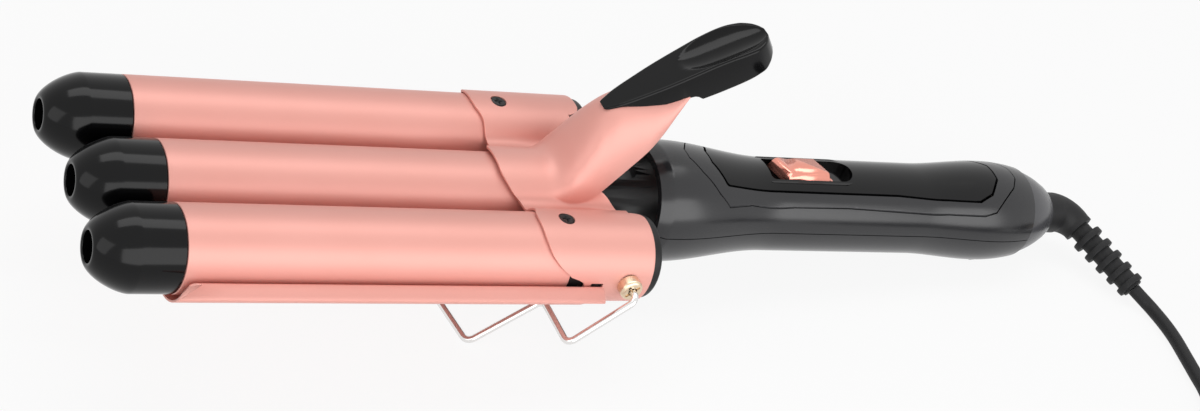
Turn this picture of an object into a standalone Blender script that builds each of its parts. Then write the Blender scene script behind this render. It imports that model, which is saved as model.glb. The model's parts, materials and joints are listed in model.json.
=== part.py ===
"""Three-barrel hair waver with a clamp lever, wire stand, slide switch and swivel cord.

Lengths are metres and +Z is up. The tool is built lying along +X in its own frame:
X is zero at the noses of the outer barrels and runs towards the handle, Y is zero on the
middle plane, and Z is zero on the axes of the outer barrels. An empty then tilts that
frame so that the wire stand and the heel of the handle both rest on the table, z = 0.
"""
import math

import bmesh
import bpy
import numpy as np
from mathutils import Matrix, Vector

# Clearances and cuts
GAP = 0.0003
OVERRUN = 0.002
MERGE = 0.000001

# Barrels: the outer two move with the lever, the middle one belongs to the handle
BARREL_RADIUS = 0.0125
BARREL_WALL = 0.0012
BARREL_PITCH = 0.02878
BARREL_END = 0.1457
MIDDLE_SETBACK = 0.0024
MIDDLE_DROP = 0.0005
MIDDLE_END = 0.1500

# Barrel caps
CAP_LENGTH = 0.0235
CAP_DOME_LENGTH = 0.0115
CAP_DOME_POWER_SHARE = 1.4
CAP_DOME_RINGS = 4
CAP_NOSE_RADIUS = 0.0053
CAP_HOLE_RADIUS = 0.0044
CAP_HOLE_DEPTH = 0.0100
CAP_RIM_BEVEL = 0.0004
CAP_SPIGOT_LENGTH = 0.0070

# Heaters inside the barrels
HEATER_FRONT = 0.0450
HEATER_LENGTH = 0.0750
HEATER_SLOT_WIDTH = 0.0050
HEATER_WEB = 0.0060

# Black carriers that hold the outer barrels on the hinge tube
CARRIER_FRONT = 0.1340
CARRIER_REAR = 0.1710
CARRIER_RADIUS = 0.0125
CARRIER_ROUNDING = 0.0012

# Hinge: tube across the tool, one screw at each end
HINGE_X = 0.1611
HINGE_Z = 0.0003
HINGE_RADIUS = 0.0030
HINGE_BORE = 0.0025
HINGE_SCREW_RADIUS = 0.0035
HINGE_SCREW_HEAD = 0.0024
HINGE_SCREW_SHANK = 0.0080
HINGE_SCREW_BEVEL = 0.0005
SPACER_RADIUS = 0.0050
JAW_OPEN_ANGLE = math.radians(18)

# Bridge plate: one pressed sheet over the three barrels that rises into the lever neck
SHEET = 0.0007
BRIDGE_MIDDLE_CLEARANCE = 0.0011
BRIDGE_VALLEY_RADIUS = 0.0030
BRIDGE_CROWN_X = 0.1318
BRIDGE_MIDDLE_X = 0.1285
BRIDGE_SWEEP = 0.0197
BRIDGE_OUTSIDE_SHARES = ((0, 0), (0.25, 0.015), (0.53, 0.10), (0.75, 0.29), (0.84, 0.42), (0.92, 0.55),
                         (0.97, 0.74), (1.0, 0.88), (1.03, 1.0))
BRIDGE_INSIDE_SHARES = ((0, 0), (0.14, 0.02), (0.27, 0.08), (0.39, 0.12), (0.57, 0.135), (0.75, 0.16))
BRIDGE_MIDDLE_SHARES = ((0, 0), (0.25, 0.02), (0.49, 0.14), (0.65, 0.27), (0.77, 0.37))
BRIDGE_SKIRT_ANGLE = math.radians(140)
BRIDGE_CUT_X = 0.1605
BRIDGE_CUT_DIP = 0.0055
BRIDGE_CUT_ANGLE = math.radians(27)
BRIDGE_REAR = 0.1690
BRIDGE_ROW_SHARES = (0, 0.16, 0.32, 0.42, 0.50, 0.58, 0.66, 0.75, 0.87, 1.0)
MIDDLE_COLUMN_COUNT = 7
VALLEY_COLUMN_COUNT = 4
OUTER_COLUMN_COUNT = 12
NECK_ROW_COUNT = 7
REAR_ROW_COUNT = 2

# Lever neck, a deep channel: crown line, edge line and half width along its reach
NECK_BASE_X = 0.1430
NECK_TIP_X = 0.1840
NECK_TIP_HEIGHT = 0.0472
NECK_HALF_WIDTH = 0.0125
NECK_FULLNESS_SHARE = 0.47
NECK_CROWN_SHARES = ((0, 0), (0.037, 0.016), (0.073, 0.05), (0.122, 0.13), (0.171, 0.23), (0.22, 0.35),
                     (0.28, 0.485), (0.354, 0.575), (0.463, 0.65), (0.651, 0.757), (0.78, 0.84),
                     (0.92, 0.95), (1.0, 1.0))
NECK_EDGE_SHARES = ((0, 0.14), (0.25, 0.145), (0.36, 0.18), (0.427, 0.24), (0.512, 0.34), (0.598, 0.435),
                    (0.695, 0.55), (0.78, 0.67), (0.859, 0.82), (0.927, 0.925), (1.0, 0.975))
NECK_WIDTH_SHARES = ((0, 0.98), (0.25, 1.02), (0.41, 1.0), (0.51, 0.975), (0.60, 0.935), (0.695, 0.895),
                     (0.78, 0.80), (0.859, 0.68), (0.927, 0.56), (1.0, 0.42))

# Carrier screws on the crowns of the outer barrels
CARRIER_SCREW_X = 0.1413
CARRIER_SCREW_IN = 0.0005
CARRIER_SCREW_HEAD = 0.0023
CARRIER_SCREW_SHANK = 0.0011
CARRIER_SCREW_SINK = 0.0002
CARRIER_SCREW_CONE = 0.0012
CARRIER_SCREW_LENGTH = 0.0070
CROSS_WIDTH = 0.0007
CROSS_LENGTH = 0.0028
CROSS_DEPTH = 0.0006

# Thumb pad
PAD_FRONT_X = 0.1572
PAD_FRONT_RISE = 0.0023
PAD_TIP_RISE = 0.0079
PAD_LENGTH = 0.0570
PAD_HALF_WIDTH = 0.0079
PAD_DEPTH = 0.0112
PAD_FRONT_DEPTH = 0.0034
PAD_FLARE = 0.0006
PAD_EDGE = 0.0007
PAD_WIDTH_SHARES = ((0, 0.20), (0.012, 0.28), (0.04, 0.36), (0.10, 0.50), (0.22, 0.65), (0.36, 0.79),
                    (0.50, 0.88), (0.66, 0.96), (0.80, 1.0), (0.89, 0.93), (0.95, 0.72), (0.985, 0.45),
                    (1.0, 0.22))
PAD_STATION_SHARES = (0, 0.012, 0.04, 0.10, 0.20, 0.34, 0.49, 0.52, 0.68, 0.80, 0.88, 0.94, 0.98, 1.0)
PAD_DEPTH_SHARES = ((0, 0), (0.10, 0.15), (0.30, 0.36), (0.49, 0.60), (0.52, 0.88), (0.90, 1.0),
                    (1.0, 0.75))
PAD_DISH_AT_SHARE = 0.74
PAD_DISH_LENGTH = 0.0135
PAD_DISH_WIDTH = 0.0066
PAD_DISH_DEPTH = 0.0022
PAD_SCREW_SHARES = (0.30, 0.45)
PAD_SCREW_RADIUS = 0.0018
PAD_SCREW_SHANK = 0.0009
PAD_SCREW_HEAD = 0.0010
PAD_SCREW_LENGTH = 0.0028

# Lower plate: troughs under the three barrels and a flange outside each outer one
TROUGH_CLEARANCE = 0.0015
LIP_HALF_WIDTH = 0.0496
LIP_DROOP = 0.0007
LIP_BEND_RADIUS = 0.0010
LOWER_FRONT = 0.0240
LIP_FRONT = 0.0200
LIP_NOTCH = 0.0280
LIP_COLUMN_COUNT = 4
LOWER_REAR = 0.1505
TONGUE_REAR = 0.1780
TONGUE_SHARE = 0.97
LOWER_SCREW_PLACES = (0.1540, 0.1720)
LOWER_SCREW_HEAD = 0.0021
LOWER_SCREW_SHANK = 0.0011
LOWER_SCREW_RISE = 0.0008
LOWER_SCREW_LENGTH = 0.0070

# Front housing that joins the middle barrel, the hinge and the handle
HOUSING_FRONT = 0.1400
HOUSING_RADIUS = 0.0110
HOUSING_COLLAR = 0.0020
HOUSING_FLANGE_X = 0.1840
HOUSING_FLANGE = 0.0035
HOUSING_TAIL = 0.0100
HOUSING_BOSS_RADIUS = 0.0056
HOUSING_BOSS_REACH = 0.0123

# Lever spring on its cream seat
SPRING_FOOT_X = 0.1700
SPRING_FOOT_RISE = 0.0034
SPRING_LEAN = math.radians(44)
SPRING_RADIUS = 0.0027
SPRING_WIRE = 0.00045
SPRING_TURNS = 6
SPRING_END_SHARE = 0.25
SPRING_HEAD_CLEARANCE = 0.0014
SEAT_RADIUS = 0.0040
SEAT_THICKNESS = 0.0020
SEAT_STUD_RADIUS = 0.0017
SEAT_STUD_LENGTH = 0.0025
SEAT_BOSS_DEPTH = 0.0080

# Handle, turned about its own axis
HANDLE_Z = -0.0012
HANDLE_WALL = 0.0022
HANDLE_FRONT = 0.1822
HANDLE_LIP_RADIUS = 0.0176
HANDLE_RING_X = 0.1858
HANDLE_BELL_RADIUS = 0.0191
HANDLE_BELL_X = 0.1900
HANDLE_WAIST_X = 0.2300
HANDLE_WAIST_RADIUS = 0.0150
HANDLE_SWELL_X = 0.2880
HANDLE_HEEL_X = 0.3180
HANDLE_HEEL_RADIUS = 0.01675
HANDLE_DOME_LENGTH = 0.0353
HANDLE_CAP_X = 0.3326
HANDLE_END = 0.3459
END_CAP_STEP = 0.0006
END_CAP_REAR_RADIUS = 0.0085
END_CAP_BULGE = math.radians(12)
END_WALL = 0.0026
END_BORE = 0.0073
HEEL_X = 0.3265
HEEL_DROP = 0.0182
HEEL_LENGTH = 0.0105
HEEL_WIDTH = 0.0120
HEEL_HEIGHT = 0.0060

# Top cover and inlay, outlines in plan
CORNER_ANGLE = math.radians(140)
COVER_FRONT = 0.1945
COVER_REAR = 0.3255
COVER_HALF_WIDTH = 0.0130
COVER_CORNER = 0.0020
COVER_LEDGE = 0.0060
COVER_SHARES = ((0, 0.16), (0.025, 0.55), (0.067, 0.95), (0.10, 1.12), (0.17, 1.0), (0.30, 0.95),
                (0.46, 0.94), (0.77, 1.0), (0.88, 1.08), (0.915, 1.04), (0.98, 0.52), (1.0, 0.20))
INLAY_FRONT = 0.2030
INLAY_REAR = 0.3170
INLAY_HALF_WIDTH = 0.0091
INLAY_CORNER = 0.0015
INLAY_GROOVE = 0.0006
INLAY_SHARES = ((0, 0.30), (0.034, 1.08), (0.22, 0.98), (0.63, 0.99), (0.81, 1.09), (0.92, 1.20),
                (0.965, 1.0), (1.0, 0.40))

# Slide switch
RECESS_FRONT = 0.2262
RECESS_REAR = 0.2590
RECESS_HALF_WIDTH = 0.0052
RECESS_DEPTH = 0.0030
RECESS_CORNER = 0.0015
RECESS_FLOOR = 0.0014
BUTTON_FRONT = 0.2305
BUTTON_LENGTH = 0.0182
BUTTON_HALF_WIDTH = 0.0045
BUTTON_RISE = 0.0010
BUTTON_DRAFT = 0.0012
BUTTON_EDGE = 0.0005
BUTTON_DISH_RADIUS = 0.0050
BUTTON_DISH_DEPTH = 0.0007
BUTTON_DISH_X = 0.0052
BUTTON_SLANT = 0.0026
BUTTON_BASE_REACH = 0.0022
BUTTON_BASE = 0.0007
STEM_LENGTH = 0.0060
STEM_HALF_WIDTH = 0.0014
STEM_REACH = 0.0030
SWITCH_TRAVEL = 0.0040
SWITCH_LENGTH = 0.0200
SWITCH_HALF_WIDTH = 0.0055

# Circuit board
BOARD_FRONT = 0.2080
BOARD_REAR = 0.3000
BOARD_HALF_WIDTH = 0.0085
BOARD_THICKNESS = 0.0016
BOARD_Z = -0.0020
BOARD_EDGE = 0.0010
RIB_PLACES = (0.2160, 0.2920)
RIB_THICKNESS = 0.0020
CAPACITOR_RADIUS = 0.0040
CAPACITOR_X = 0.2720
CAPACITOR_LENGTH = 0.0140

# Shell screws on the underside
SHELL_SCREW_PLACES = (0.2240, 0.3040)
SHELL_SCREW_HEAD = 0.0024
SHELL_SCREW_SHANK = 0.0012
SHELL_SCREW_SINK = 0.0012
SHELL_SCREW_RISE = 0.0012
SHELL_SCREW_LENGTH = 0.0075
SHELL_POST_RADIUS = 0.0034

# Wire stand
WIRE_RADIUS = 0.0011
STAND_SIDE_CLEARANCE = 0.00462
STAND_STEP_HALF_WIDTH = 0.0300
STAND_FOOT_HALF_WIDTH = 0.0280
STAND_ANGLE = math.radians(45)
STAND_FOOT_REACH = 0.0503
STAND_FOOT_BOW = 0.0038
STAND_STEP_CLEARANCE = 0.0010
STAND_BEND = 0.0026
STAND_FOOT_BEND = 0.0030
STAND_BOW_BEND = 0.0300
STAND_TIP_DEPTH = 0.0060
STAND_FOLD_ANGLE = math.radians(108)

# Swivel and strain relief
SWIVEL_FLANGE_RADIUS = 0.0100
SWIVEL_FLANGE = 0.0030
SWIVEL_BUSH = 0.0080
SWIVEL_BUSH_BORE = 0.0040
RELIEF_RADIUS = 0.00695
RELIEF_STRAIGHT = 0.0046
RELIEF_BEND = math.radians(65)
RELIEF_BEND_RADIUS = 0.0095
RELIEF_TURN = math.radians(76)
RELIEF_ELBOW_RADIUS = 0.0054
RELIEF_NECK = 0.0028
RELIEF_CORE_RADIUS = 0.0036
RELIEF_RIB_RADIUS = 0.0055
RELIEF_END_RADIUS = 0.0048
RELIEF_RIBS = 5
RELIEF_PITCH = 0.0054
RELIEF_RIB_SHARE = 0.45
RELIEF_STEP = 0.0001

# Cord, coil, tie and plug, in the table's frame
CORD_RADIUS = 0.0023
CORD_ROUTE = ((0.2027, -0.0470, 0.0024), (0.2023, -0.0540, 0.0023), (0.2008, -0.0625, 0.0023),
              (0.1992, -0.0710, 0.0023), (0.1974, -0.0800, 0.0023), (0.1938, -0.0895, 0.0023),
              (0.1880, -0.0985, 0.0023), (0.1807, -0.1065, 0.0024), (0.1735, -0.1145, 0.0027),
              (0.1678, -0.1235, 0.0030), (0.1644, -0.1325, 0.0033))
CORD_POINTS = 44
COIL_CENTRE_X = 0.2005
COIL_CENTRE_Y = -0.1430
COIL_MIDDLE_RADIUS = 0.0275
COIL_TURNS = 7.5
COIL_LOOP_POINTS = 24
COIL_SPACE = 0.0006
TIE_THICKNESS = 0.0008
TIE_WIDTH = 0.0100
PLUG_LENGTH = 0.0300
PLUG_HALF_WIDTH = 0.0125
PLUG_NOSE_SHARE = 0.55
PLUG_EDGE = 0.0025
PIN_LENGTH = 0.0165
PIN_HALF_WIDTH = 0.0032
PIN_THICKNESS = 0.0015
PIN_SPACING = 0.0127
TAIL_LENGTH = 0.0480

# Facets
ROUND_STEPS = 32
SMALL_STEPS = 12
SHARP_ANGLE = math.radians(32)

# Colours: base colour, roughness, metallic
BLACK_GLOSS = (0.012, 0.012, 0.013), 0.18, 0.0
BLACK_SATIN = (0.016, 0.016, 0.017), 0.45, 0.0
BLACK_RUBBER = (0.014, 0.014, 0.015), 0.60, 0.0
ROSE_SATIN = (0.83, 0.40, 0.32), 0.38, 0.55
ROSE_GLOSS = (0.83, 0.42, 0.34), 0.18, 0.70
CHROME = (0.80, 0.80, 0.80), 0.08, 1.0
STEEL = (0.55, 0.55, 0.56), 0.30, 1.0
BRASS_PALE = (0.80, 0.66, 0.50), 0.35, 0.60
CREAM = (0.86, 0.78, 0.66), 0.50, 0.0
ALUMINIUM = (0.70, 0.70, 0.72), 0.40, 1.0
BOARD_GREEN = (0.03, 0.16, 0.07), 0.45, 0.0

PARTS_NAME = "triple_barrel_hair_waver"


class Model:
    """The two collections, the joint empties and the materials of this object."""

    def __init__(self):
        for old in list(bpy.data.objects):
            bpy.data.objects.remove(old)
        self.parts = self.collection(PARTS_NAME)
        self.cutters = self.collection("cutters")
        self.iron = self.empty("iron", Vector((0, 0, 0)), None)
        hinge = Vector((HINGE_X, 0, HINGE_Z))
        handle = Vector((HANDLE_END, 0, HANDLE_Z))
        self.jaw = self.empty("jaw_axis", hinge, self.iron)
        self.stand = self.empty("stand_axis", hinge, self.iron)
        self.switch = self.empty("switch_axis", Vector((BUTTON_FRONT, 0, HANDLE_Z)), self.iron)
        self.swivel = self.empty("swivel_axis", handle, self.iron)

    def collection(self, name):
        made = bpy.data.collections.new(name)
        bpy.context.scene.collection.children.link(made)
        return made

    def empty(self, name, place, parent):
        made = bpy.data.objects.new(name, None)
        self.parts.objects.link(made)
        made.location = place
        made.parent = parent
        return made

    def add(self, piece, name, finish, joint=None):
        """Names a finished piece, gives it its material and hangs it on its joint."""
        piece.name = name
        piece.data.name = name
        piece.data.materials.clear()
        piece.data.materials.append(self.material(name, finish))
        piece.data.shade_smooth()
        piece.data.set_sharp_from_angle(angle=SHARP_ANGLE)
        for holder in list(piece.users_collection):
            holder.objects.unlink(piece)
        self.parts.objects.link(piece)
        if joint is not None:
            piece.parent = joint
            if joint is not self.iron:
                piece.location -= joint.location
        return piece

    def material(self, name, finish):
        colour, roughness, metallic = finish
        made = bpy.data.materials.new(name)
        made.use_nodes = True
        surface = made.node_tree.nodes["Principled BSDF"]
        surface.inputs["Base Color"].default_value = (*colour, 1)
        surface.inputs["Roughness"].default_value = roughness
        surface.inputs["Metallic"].default_value = metallic
        return made


def new_object(name, mesh):
    made = bpy.data.objects.new(name, mesh)
    bpy.context.scene.collection.objects.link(made)
    return made


def from_bmesh(name, shape):
    mesh = bpy.data.meshes.new(name)
    shape.to_mesh(mesh)
    shape.free()
    return new_object(name, mesh)


def bake(piece):
    """Replaces a piece's mesh by its evaluated one, with its modifiers done."""
    bpy.context.view_layer.update()
    evaluated = piece.evaluated_get(bpy.context.evaluated_depsgraph_get())
    mesh = bpy.data.meshes.new_from_object(evaluated)
    if piece.type == "CURVE":
        name = piece.name
        place = piece.matrix_world.copy()
        bpy.data.objects.remove(piece)
        piece = new_object(name, mesh)
        piece.matrix_world = place
    else:
        piece.modifiers.clear()
        piece.data = mesh
    weld(piece)
    return piece


def weld(piece):
    shape = bmesh.new()
    shape.from_mesh(piece.data)
    bmesh.ops.remove_doubles(shape, verts=shape.verts, dist=MERGE)
    shape.to_mesh(piece.data)
    shape.free()


def arc(start, end, turn, count):
    """Points from start to end on a circular arc that turns by the given angle, to the left."""
    start = Vector(start)
    end = Vector(end)
    chord = end - start
    middle = (start + end) / 2
    side = Vector((-chord.y, chord.x))
    centre = middle + side / (2 * math.tan(turn / 2))
    points = []
    for index in range(count + 1):
        angle = turn * index / count
        arm = start - centre
        points.append((centre.x + arm.x * math.cos(angle) - arm.y * math.sin(angle),
                       centre.y + arm.x * math.sin(angle) + arm.y * math.cos(angle)))
    return points


def smoothstep(value, low, high):
    share = min(max((value - low) / (high - low), 0), 1)
    return share * share * (3 - 2 * share)


def read_shares(table, share):
    """Reads a table of (share along, share of size) with a smooth curve through its points."""
    xs = [row[0] for row in table]
    ys = [row[1] for row in table]
    if share <= xs[0]:
        return ys[0]
    if share >= xs[-1]:
        return ys[-1]
    steps = [(ys[i + 1] - ys[i]) / (xs[i + 1] - xs[i]) for i in range(len(xs) - 1)]
    slopes = [steps[0]]
    for before, after in zip(steps, steps[1:]):
        same_way = before * after > 0
        slopes.append(2 * before * after / (before + after) if same_way else 0)
    slopes.append(steps[-1])
    spot = max(i for i in range(len(xs) - 1) if xs[i] <= share)
    width = xs[spot + 1] - xs[spot]
    t = (share - xs[spot]) / width
    rise = ys[spot + 1] - ys[spot]
    a = slopes[spot] * width - rise
    b = -slopes[spot + 1] * width + rise
    return (1 - t) * ys[spot] + t * ys[spot + 1] + t * (1 - t) * (a * (1 - t) + b * t)


def rounded(corners, radii, count, closed=True):
    """A path through the corners, each one rounded by its own radius."""
    corners = [Vector(corner) for corner in corners]
    path = []
    size = len(corners)
    for index, (corner, radius) in enumerate(zip(corners, radii)):
        at_end = not closed and index in (0, size - 1)
        if radius == 0 or at_end:
            path.append(corner)
            continue
        back = (corners[index - 1] - corner).normalized()
        ahead = (corners[(index + 1) % size] - corner).normalized()
        half = back.angle(ahead) / 2
        reach = radius / math.tan(half)
        centre = corner + (back + ahead).normalized() * radius / math.sin(half)
        first = (corner + back * reach - centre).normalized()
        last = (corner + ahead * reach - centre).normalized()
        for step in range(count + 1):
            path.append(centre + first.slerp(last, step / count) * radius)
    return path


def turned(name, outline, centre=(0, 0), closed=False, steps=ROUND_STEPS):
    """Turns an outline of (x, radius) about a line along X; it runs from rear to front."""
    mesh = bpy.data.meshes.new(name)
    count = len(outline)
    edges = [(i, i + 1) for i in range(count - 1)]
    if closed:
        edges.append((count - 1, 0))
    mesh.from_pydata([(radius, 0, x) for x, radius in outline], edges, [])
    piece = new_object(name, mesh)
    screw(piece, steps)
    piece.rotation_euler = (0, math.pi / 2, 0)
    piece.location = (0, centre[0], centre[1])
    return bake(piece)


def screw(piece, steps):
    spin = piece.modifiers.new("turn", "SCREW")
    spin.steps = steps
    spin.render_steps = steps
    spin.use_merge_vertices = True
    spin.merge_threshold = MERGE


def turned_at(name, outline, foot, direction, closed=False, steps=SMALL_STEPS):
    """Turns an outline of (height, radius), top to bottom, about a line through foot."""
    mesh = bpy.data.meshes.new(name)
    count = len(outline)
    edges = [(i, i + 1) for i in range(count - 1)]
    if closed:
        edges.append((count - 1, 0))
    mesh.from_pydata([(radius, 0, height) for height, radius in outline], edges, [])
    piece = new_object(name, mesh)
    screw(piece, steps)
    piece.rotation_mode = "QUATERNION"
    piece.rotation_quaternion = Vector(direction).to_track_quat("Z", "Y")
    piece.location = foot
    return bake(piece)


def rod(name, radius, start, end, steps=SMALL_STEPS):
    """A plain cylinder between two points."""
    start = Vector(start)
    end = Vector(end)
    shape = bmesh.new()
    bmesh.ops.create_cone(shape, cap_ends=True, segments=steps, radius1=radius, radius2=radius,
                          depth=(end - start).length)
    turn = (end - start).to_track_quat("Z", "Y").to_matrix().to_4x4()
    bmesh.ops.transform(shape, matrix=Matrix.Translation((start + end) / 2) @ turn, verts=shape.verts)
    return from_bmesh(name, shape)


def block(name, low, high):
    """A box between two corners."""
    low = Vector(low)
    high = Vector(high)
    shape = bmesh.new()
    bmesh.ops.create_cube(shape, size=1)
    bmesh.ops.scale(shape, vec=high - low, verts=shape.verts)
    bmesh.ops.translate(shape, vec=(low + high) / 2, verts=shape.verts)
    return from_bmesh(name, shape)


def prism(name, outline, low, high):
    """A flat outline in plan, raised from one height to another."""
    shape = bmesh.new()
    floor = shape.faces.new([shape.verts.new((point[0], point[1], low)) for point in outline])
    raised = bmesh.ops.extrude_face_region(shape, geom=[floor])
    tops = [item for item in raised["geom"] if isinstance(item, bmesh.types.BMVert)]
    bmesh.ops.translate(shape, vec=(0, 0, high - low), verts=tops)
    bmesh.ops.recalc_face_normals(shape, faces=shape.faces)
    return from_bmesh(name, shape)


def loft(name, rings):
    """A closed solid through rings of points, each ring with as many points."""
    shape = bmesh.new()
    rows = [[shape.verts.new(point) for point in ring] for ring in rings]
    for row, following in zip(rows, rows[1:]):
        size = len(row)
        for index in range(size):
            after = (index + 1) % size
            shape.faces.new((row[index], row[after], following[after], following[index]))
    shape.faces.new(list(reversed(rows[0])))
    shape.faces.new(rows[-1])
    bmesh.ops.recalc_face_normals(shape, faces=shape.faces)
    return from_bmesh(name, shape)


def tube(name, points, radius, resolution, radii=None):
    """A round wire or cord along the points, with its ends capped."""
    curve = bpy.data.curves.new(name, "CURVE")
    curve.dimensions = "3D"
    curve.bevel_depth = radius
    curve.bevel_resolution = resolution
    curve.use_fill_caps = True
    line = curve.splines.new("POLY")
    line.points.add(len(points) - 1)
    for index, point in enumerate(points):
        line.points[index].co = (*point, 1)
        line.points[index].radius = radii[index] if radii else 1
    return bake(new_object(name, curve))


def cut(piece, tools, operation="DIFFERENCE"):
    """Cuts a piece with tools, or joins them to it, and keeps the result as its mesh."""
    for tool in tools:
        change = piece.modifiers.new("cut", "BOOLEAN")
        change.operation = operation
        change.solver = "EXACT"
        change.object = tool
    piece = bake(piece)
    for tool in tools:
        bpy.data.objects.remove(tool)
    return piece


def copy_of(piece):
    made = new_object(piece.name, piece.data.copy())
    made.matrix_world = piece.matrix_world.copy()
    return made


def both_sides(maker):
    """Makes a piece for the near side, -1, and the far side, +1."""
    for side, word in ((-1, "near"), (1, "far")):
        maker(side, word)


def barrel_bore():
    return BARREL_RADIUS - BARREL_WALL


def handle_radius(x):
    """Outer radius of the handle: bell, waist, heel swell and domed end."""
    if x < HANDLE_RING_X:
        share = (x - HANDLE_FRONT) / (HANDLE_RING_X - HANDLE_FRONT)
        return HANDLE_LIP_RADIUS + (HANDLE_BELL_RADIUS - HANDLE_LIP_RADIUS) * share
    if x < HANDLE_SWELL_X:
        waist = smoothstep(x, HANDLE_BELL_X, HANDLE_WAIST_X)
        return HANDLE_BELL_RADIUS + (HANDLE_WAIST_RADIUS - HANDLE_BELL_RADIUS) * waist
    if x < HANDLE_HEEL_X:
        swell = smoothstep(x, HANDLE_SWELL_X, HANDLE_HEEL_X)
        return HANDLE_WAIST_RADIUS + (HANDLE_HEEL_RADIUS - HANDLE_WAIST_RADIUS) * swell
    along = (x - HANDLE_HEEL_X) / HANDLE_DOME_LENGTH
    return HANDLE_HEEL_RADIUS * math.sqrt(1 - along * along)


def stations(start, end, count):
    return [start + (end - start) * index / count for index in range(count + 1)]


def screw_head(name, top, direction, radius, rise, shank, length, cross=True):
    """A pan-head screw whose head stands above the point top, with a cross recess."""
    bevel = rise / 3
    outline = [(rise, 0), (rise, radius - bevel), (rise - bevel, radius), (0, radius),
               (0, shank), (-length, shank), (-length, 0)]
    piece = turned_at(name, outline, top, direction)
    if not cross:
        return piece
    turn = Vector(direction).to_track_quat("Z", "Y").to_matrix().to_4x4()
    tools = []
    for long_way in (0, 1):
        half = [CROSS_LENGTH / 2, CROSS_WIDTH / 2] if long_way else [CROSS_WIDTH / 2, CROSS_LENGTH / 2]
        tool = block("cross", (-half[0], -half[1], rise - CROSS_DEPTH), (half[0], half[1], rise + OVERRUN))
        tool.matrix_world = Matrix.Translation(top) @ turn
        tools.append(tool)
    return cut(piece, tools)


def barrel_cap(name, nose, centre):
    seam = nose + CAP_LENGTH
    dome = []
    for index in range(CAP_DOME_RINGS + 1):
        angle = math.pi / 2 * index / CAP_DOME_RINGS
        along = 1 - math.sin(angle) ** CAP_DOME_POWER_SHARE
        rise = math.cos(angle) ** CAP_DOME_POWER_SHARE if index < CAP_DOME_RINGS else 0
        dome.append((nose + CAP_DOME_LENGTH * along, CAP_NOSE_RADIUS + (BARREL_RADIUS - CAP_NOSE_RADIUS) * rise))
    outline = [(seam + CAP_SPIGOT_LENGTH, 0), (seam + CAP_SPIGOT_LENGTH, barrel_bore() - GAP),
               (seam, barrel_bore() - GAP), (seam, BARREL_RADIUS)]
    outline += dome
    outline += [(nose, CAP_HOLE_RADIUS + CAP_RIM_BEVEL), (nose + CAP_RIM_BEVEL, CAP_HOLE_RADIUS),
                (nose + CAP_HOLE_DEPTH, CAP_HOLE_RADIUS), (nose + CAP_HOLE_DEPTH, 0)]
    return turned(name, outline, centre)


def barrel_tube(name, nose, end, centre):
    front = nose + CAP_LENGTH + GAP
    bore = barrel_bore()
    outline = [(end, bore), (end, BARREL_RADIUS), (front, BARREL_RADIUS), (front, bore)]
    return turned(name, outline, centre, closed=True)


def heater(name, nose, centre):
    """A ceramic bar between two half-round spreaders, with the slots that let them spring."""
    front = nose + HEATER_FRONT
    rear = front + HEATER_LENGTH
    radius = barrel_bore() - GAP
    core = turned(name, [(rear, 0), (rear, radius), (front, radius), (front, 0)], centre, steps=16)
    tools = []
    for side in (-1, 1):
        inner = centre[0] + side * HEATER_WEB
        outer = centre[0] + side * (radius + OVERRUN)
        low = (front - OVERRUN, min(inner, outer), centre[1] - HEATER_SLOT_WIDTH / 2)
        high = (rear + OVERRUN, max(inner, outer), centre[1] + HEATER_SLOT_WIDTH / 2)
        tools.append(block("slot", low, high))
    return cut(core, tools)


def make_barrels(model):
    for side, word in ((-1, "near"), (0, "middle"), (1, "far")):
        nose = 0 if side else MIDDLE_SETBACK
        end = BARREL_END if side else MIDDLE_END
        centre = (side * BARREL_PITCH, 0 if side else -MIDDLE_DROP)
        joint = model.jaw if side else model.iron
        tube_piece = barrel_tube(word + "_barrel", nose, end, centre)
        if side:
            tube_piece = cut(tube_piece, [carrier_screw_hole(side)])
        model.add(tube_piece, word + "_barrel", ROSE_SATIN, joint)
        model.add(barrel_cap(word + "_cap", nose, centre), word + "_barrel_cap", BLACK_GLOSS, joint)
        model.add(heater(word + "_heater", nose, centre), word + "_heater", ALUMINIUM, joint)


def carrier_screw_top(side):
    height = BARREL_RADIUS + GAP + SHEET - CARRIER_SCREW_SINK
    return Vector((CARRIER_SCREW_X, side * (BARREL_PITCH - CARRIER_SCREW_IN), height))


def carrier_screw_shape(grow, reach):
    """Outline of a countersunk screw, or of its hole, from the top down."""
    head = CARRIER_SCREW_HEAD + grow
    shank = CARRIER_SCREW_SHANK + grow
    return [(reach, 0), (reach, head), (-grow, head), (-CARRIER_SCREW_CONE - grow, shank),
            (-CARRIER_SCREW_LENGTH - grow, shank), (-CARRIER_SCREW_LENGTH - grow, 0)]


def carrier_screw_hole(side):
    return turned_at("hole", carrier_screw_shape(GAP, OVERRUN), carrier_screw_top(side), (0, 0, 1))


def carrier_screw(side):
    top = carrier_screw_top(side)
    outline = carrier_screw_shape(0, 0)[:2] + carrier_screw_shape(0, 0)[3:]
    tools = []
    for half_x, half_y in ((CROSS_LENGTH / 2, CROSS_WIDTH / 2), (CROSS_WIDTH / 2, CROSS_LENGTH / 2)):
        low = top - Vector((half_x, half_y, CROSS_DEPTH))
        tools.append(block("cross", low, top + Vector((half_x, half_y, OVERRUN))))
    return cut(turned_at("screw", outline, top, (0, 0, 1)), tools)


def hinge_hole(side, radius):
    """A cutter along the hinge axis through what lies on one side of the middle plane."""
    start = (HINGE_X, side * HOUSING_BOSS_REACH, HINGE_Z)
    end = (HINGE_X, side * (BARREL_PITCH + CARRIER_RADIUS + SHEET + OVERRUN), HINGE_Z)
    return rod("hinge_hole", radius, start, end)


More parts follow.
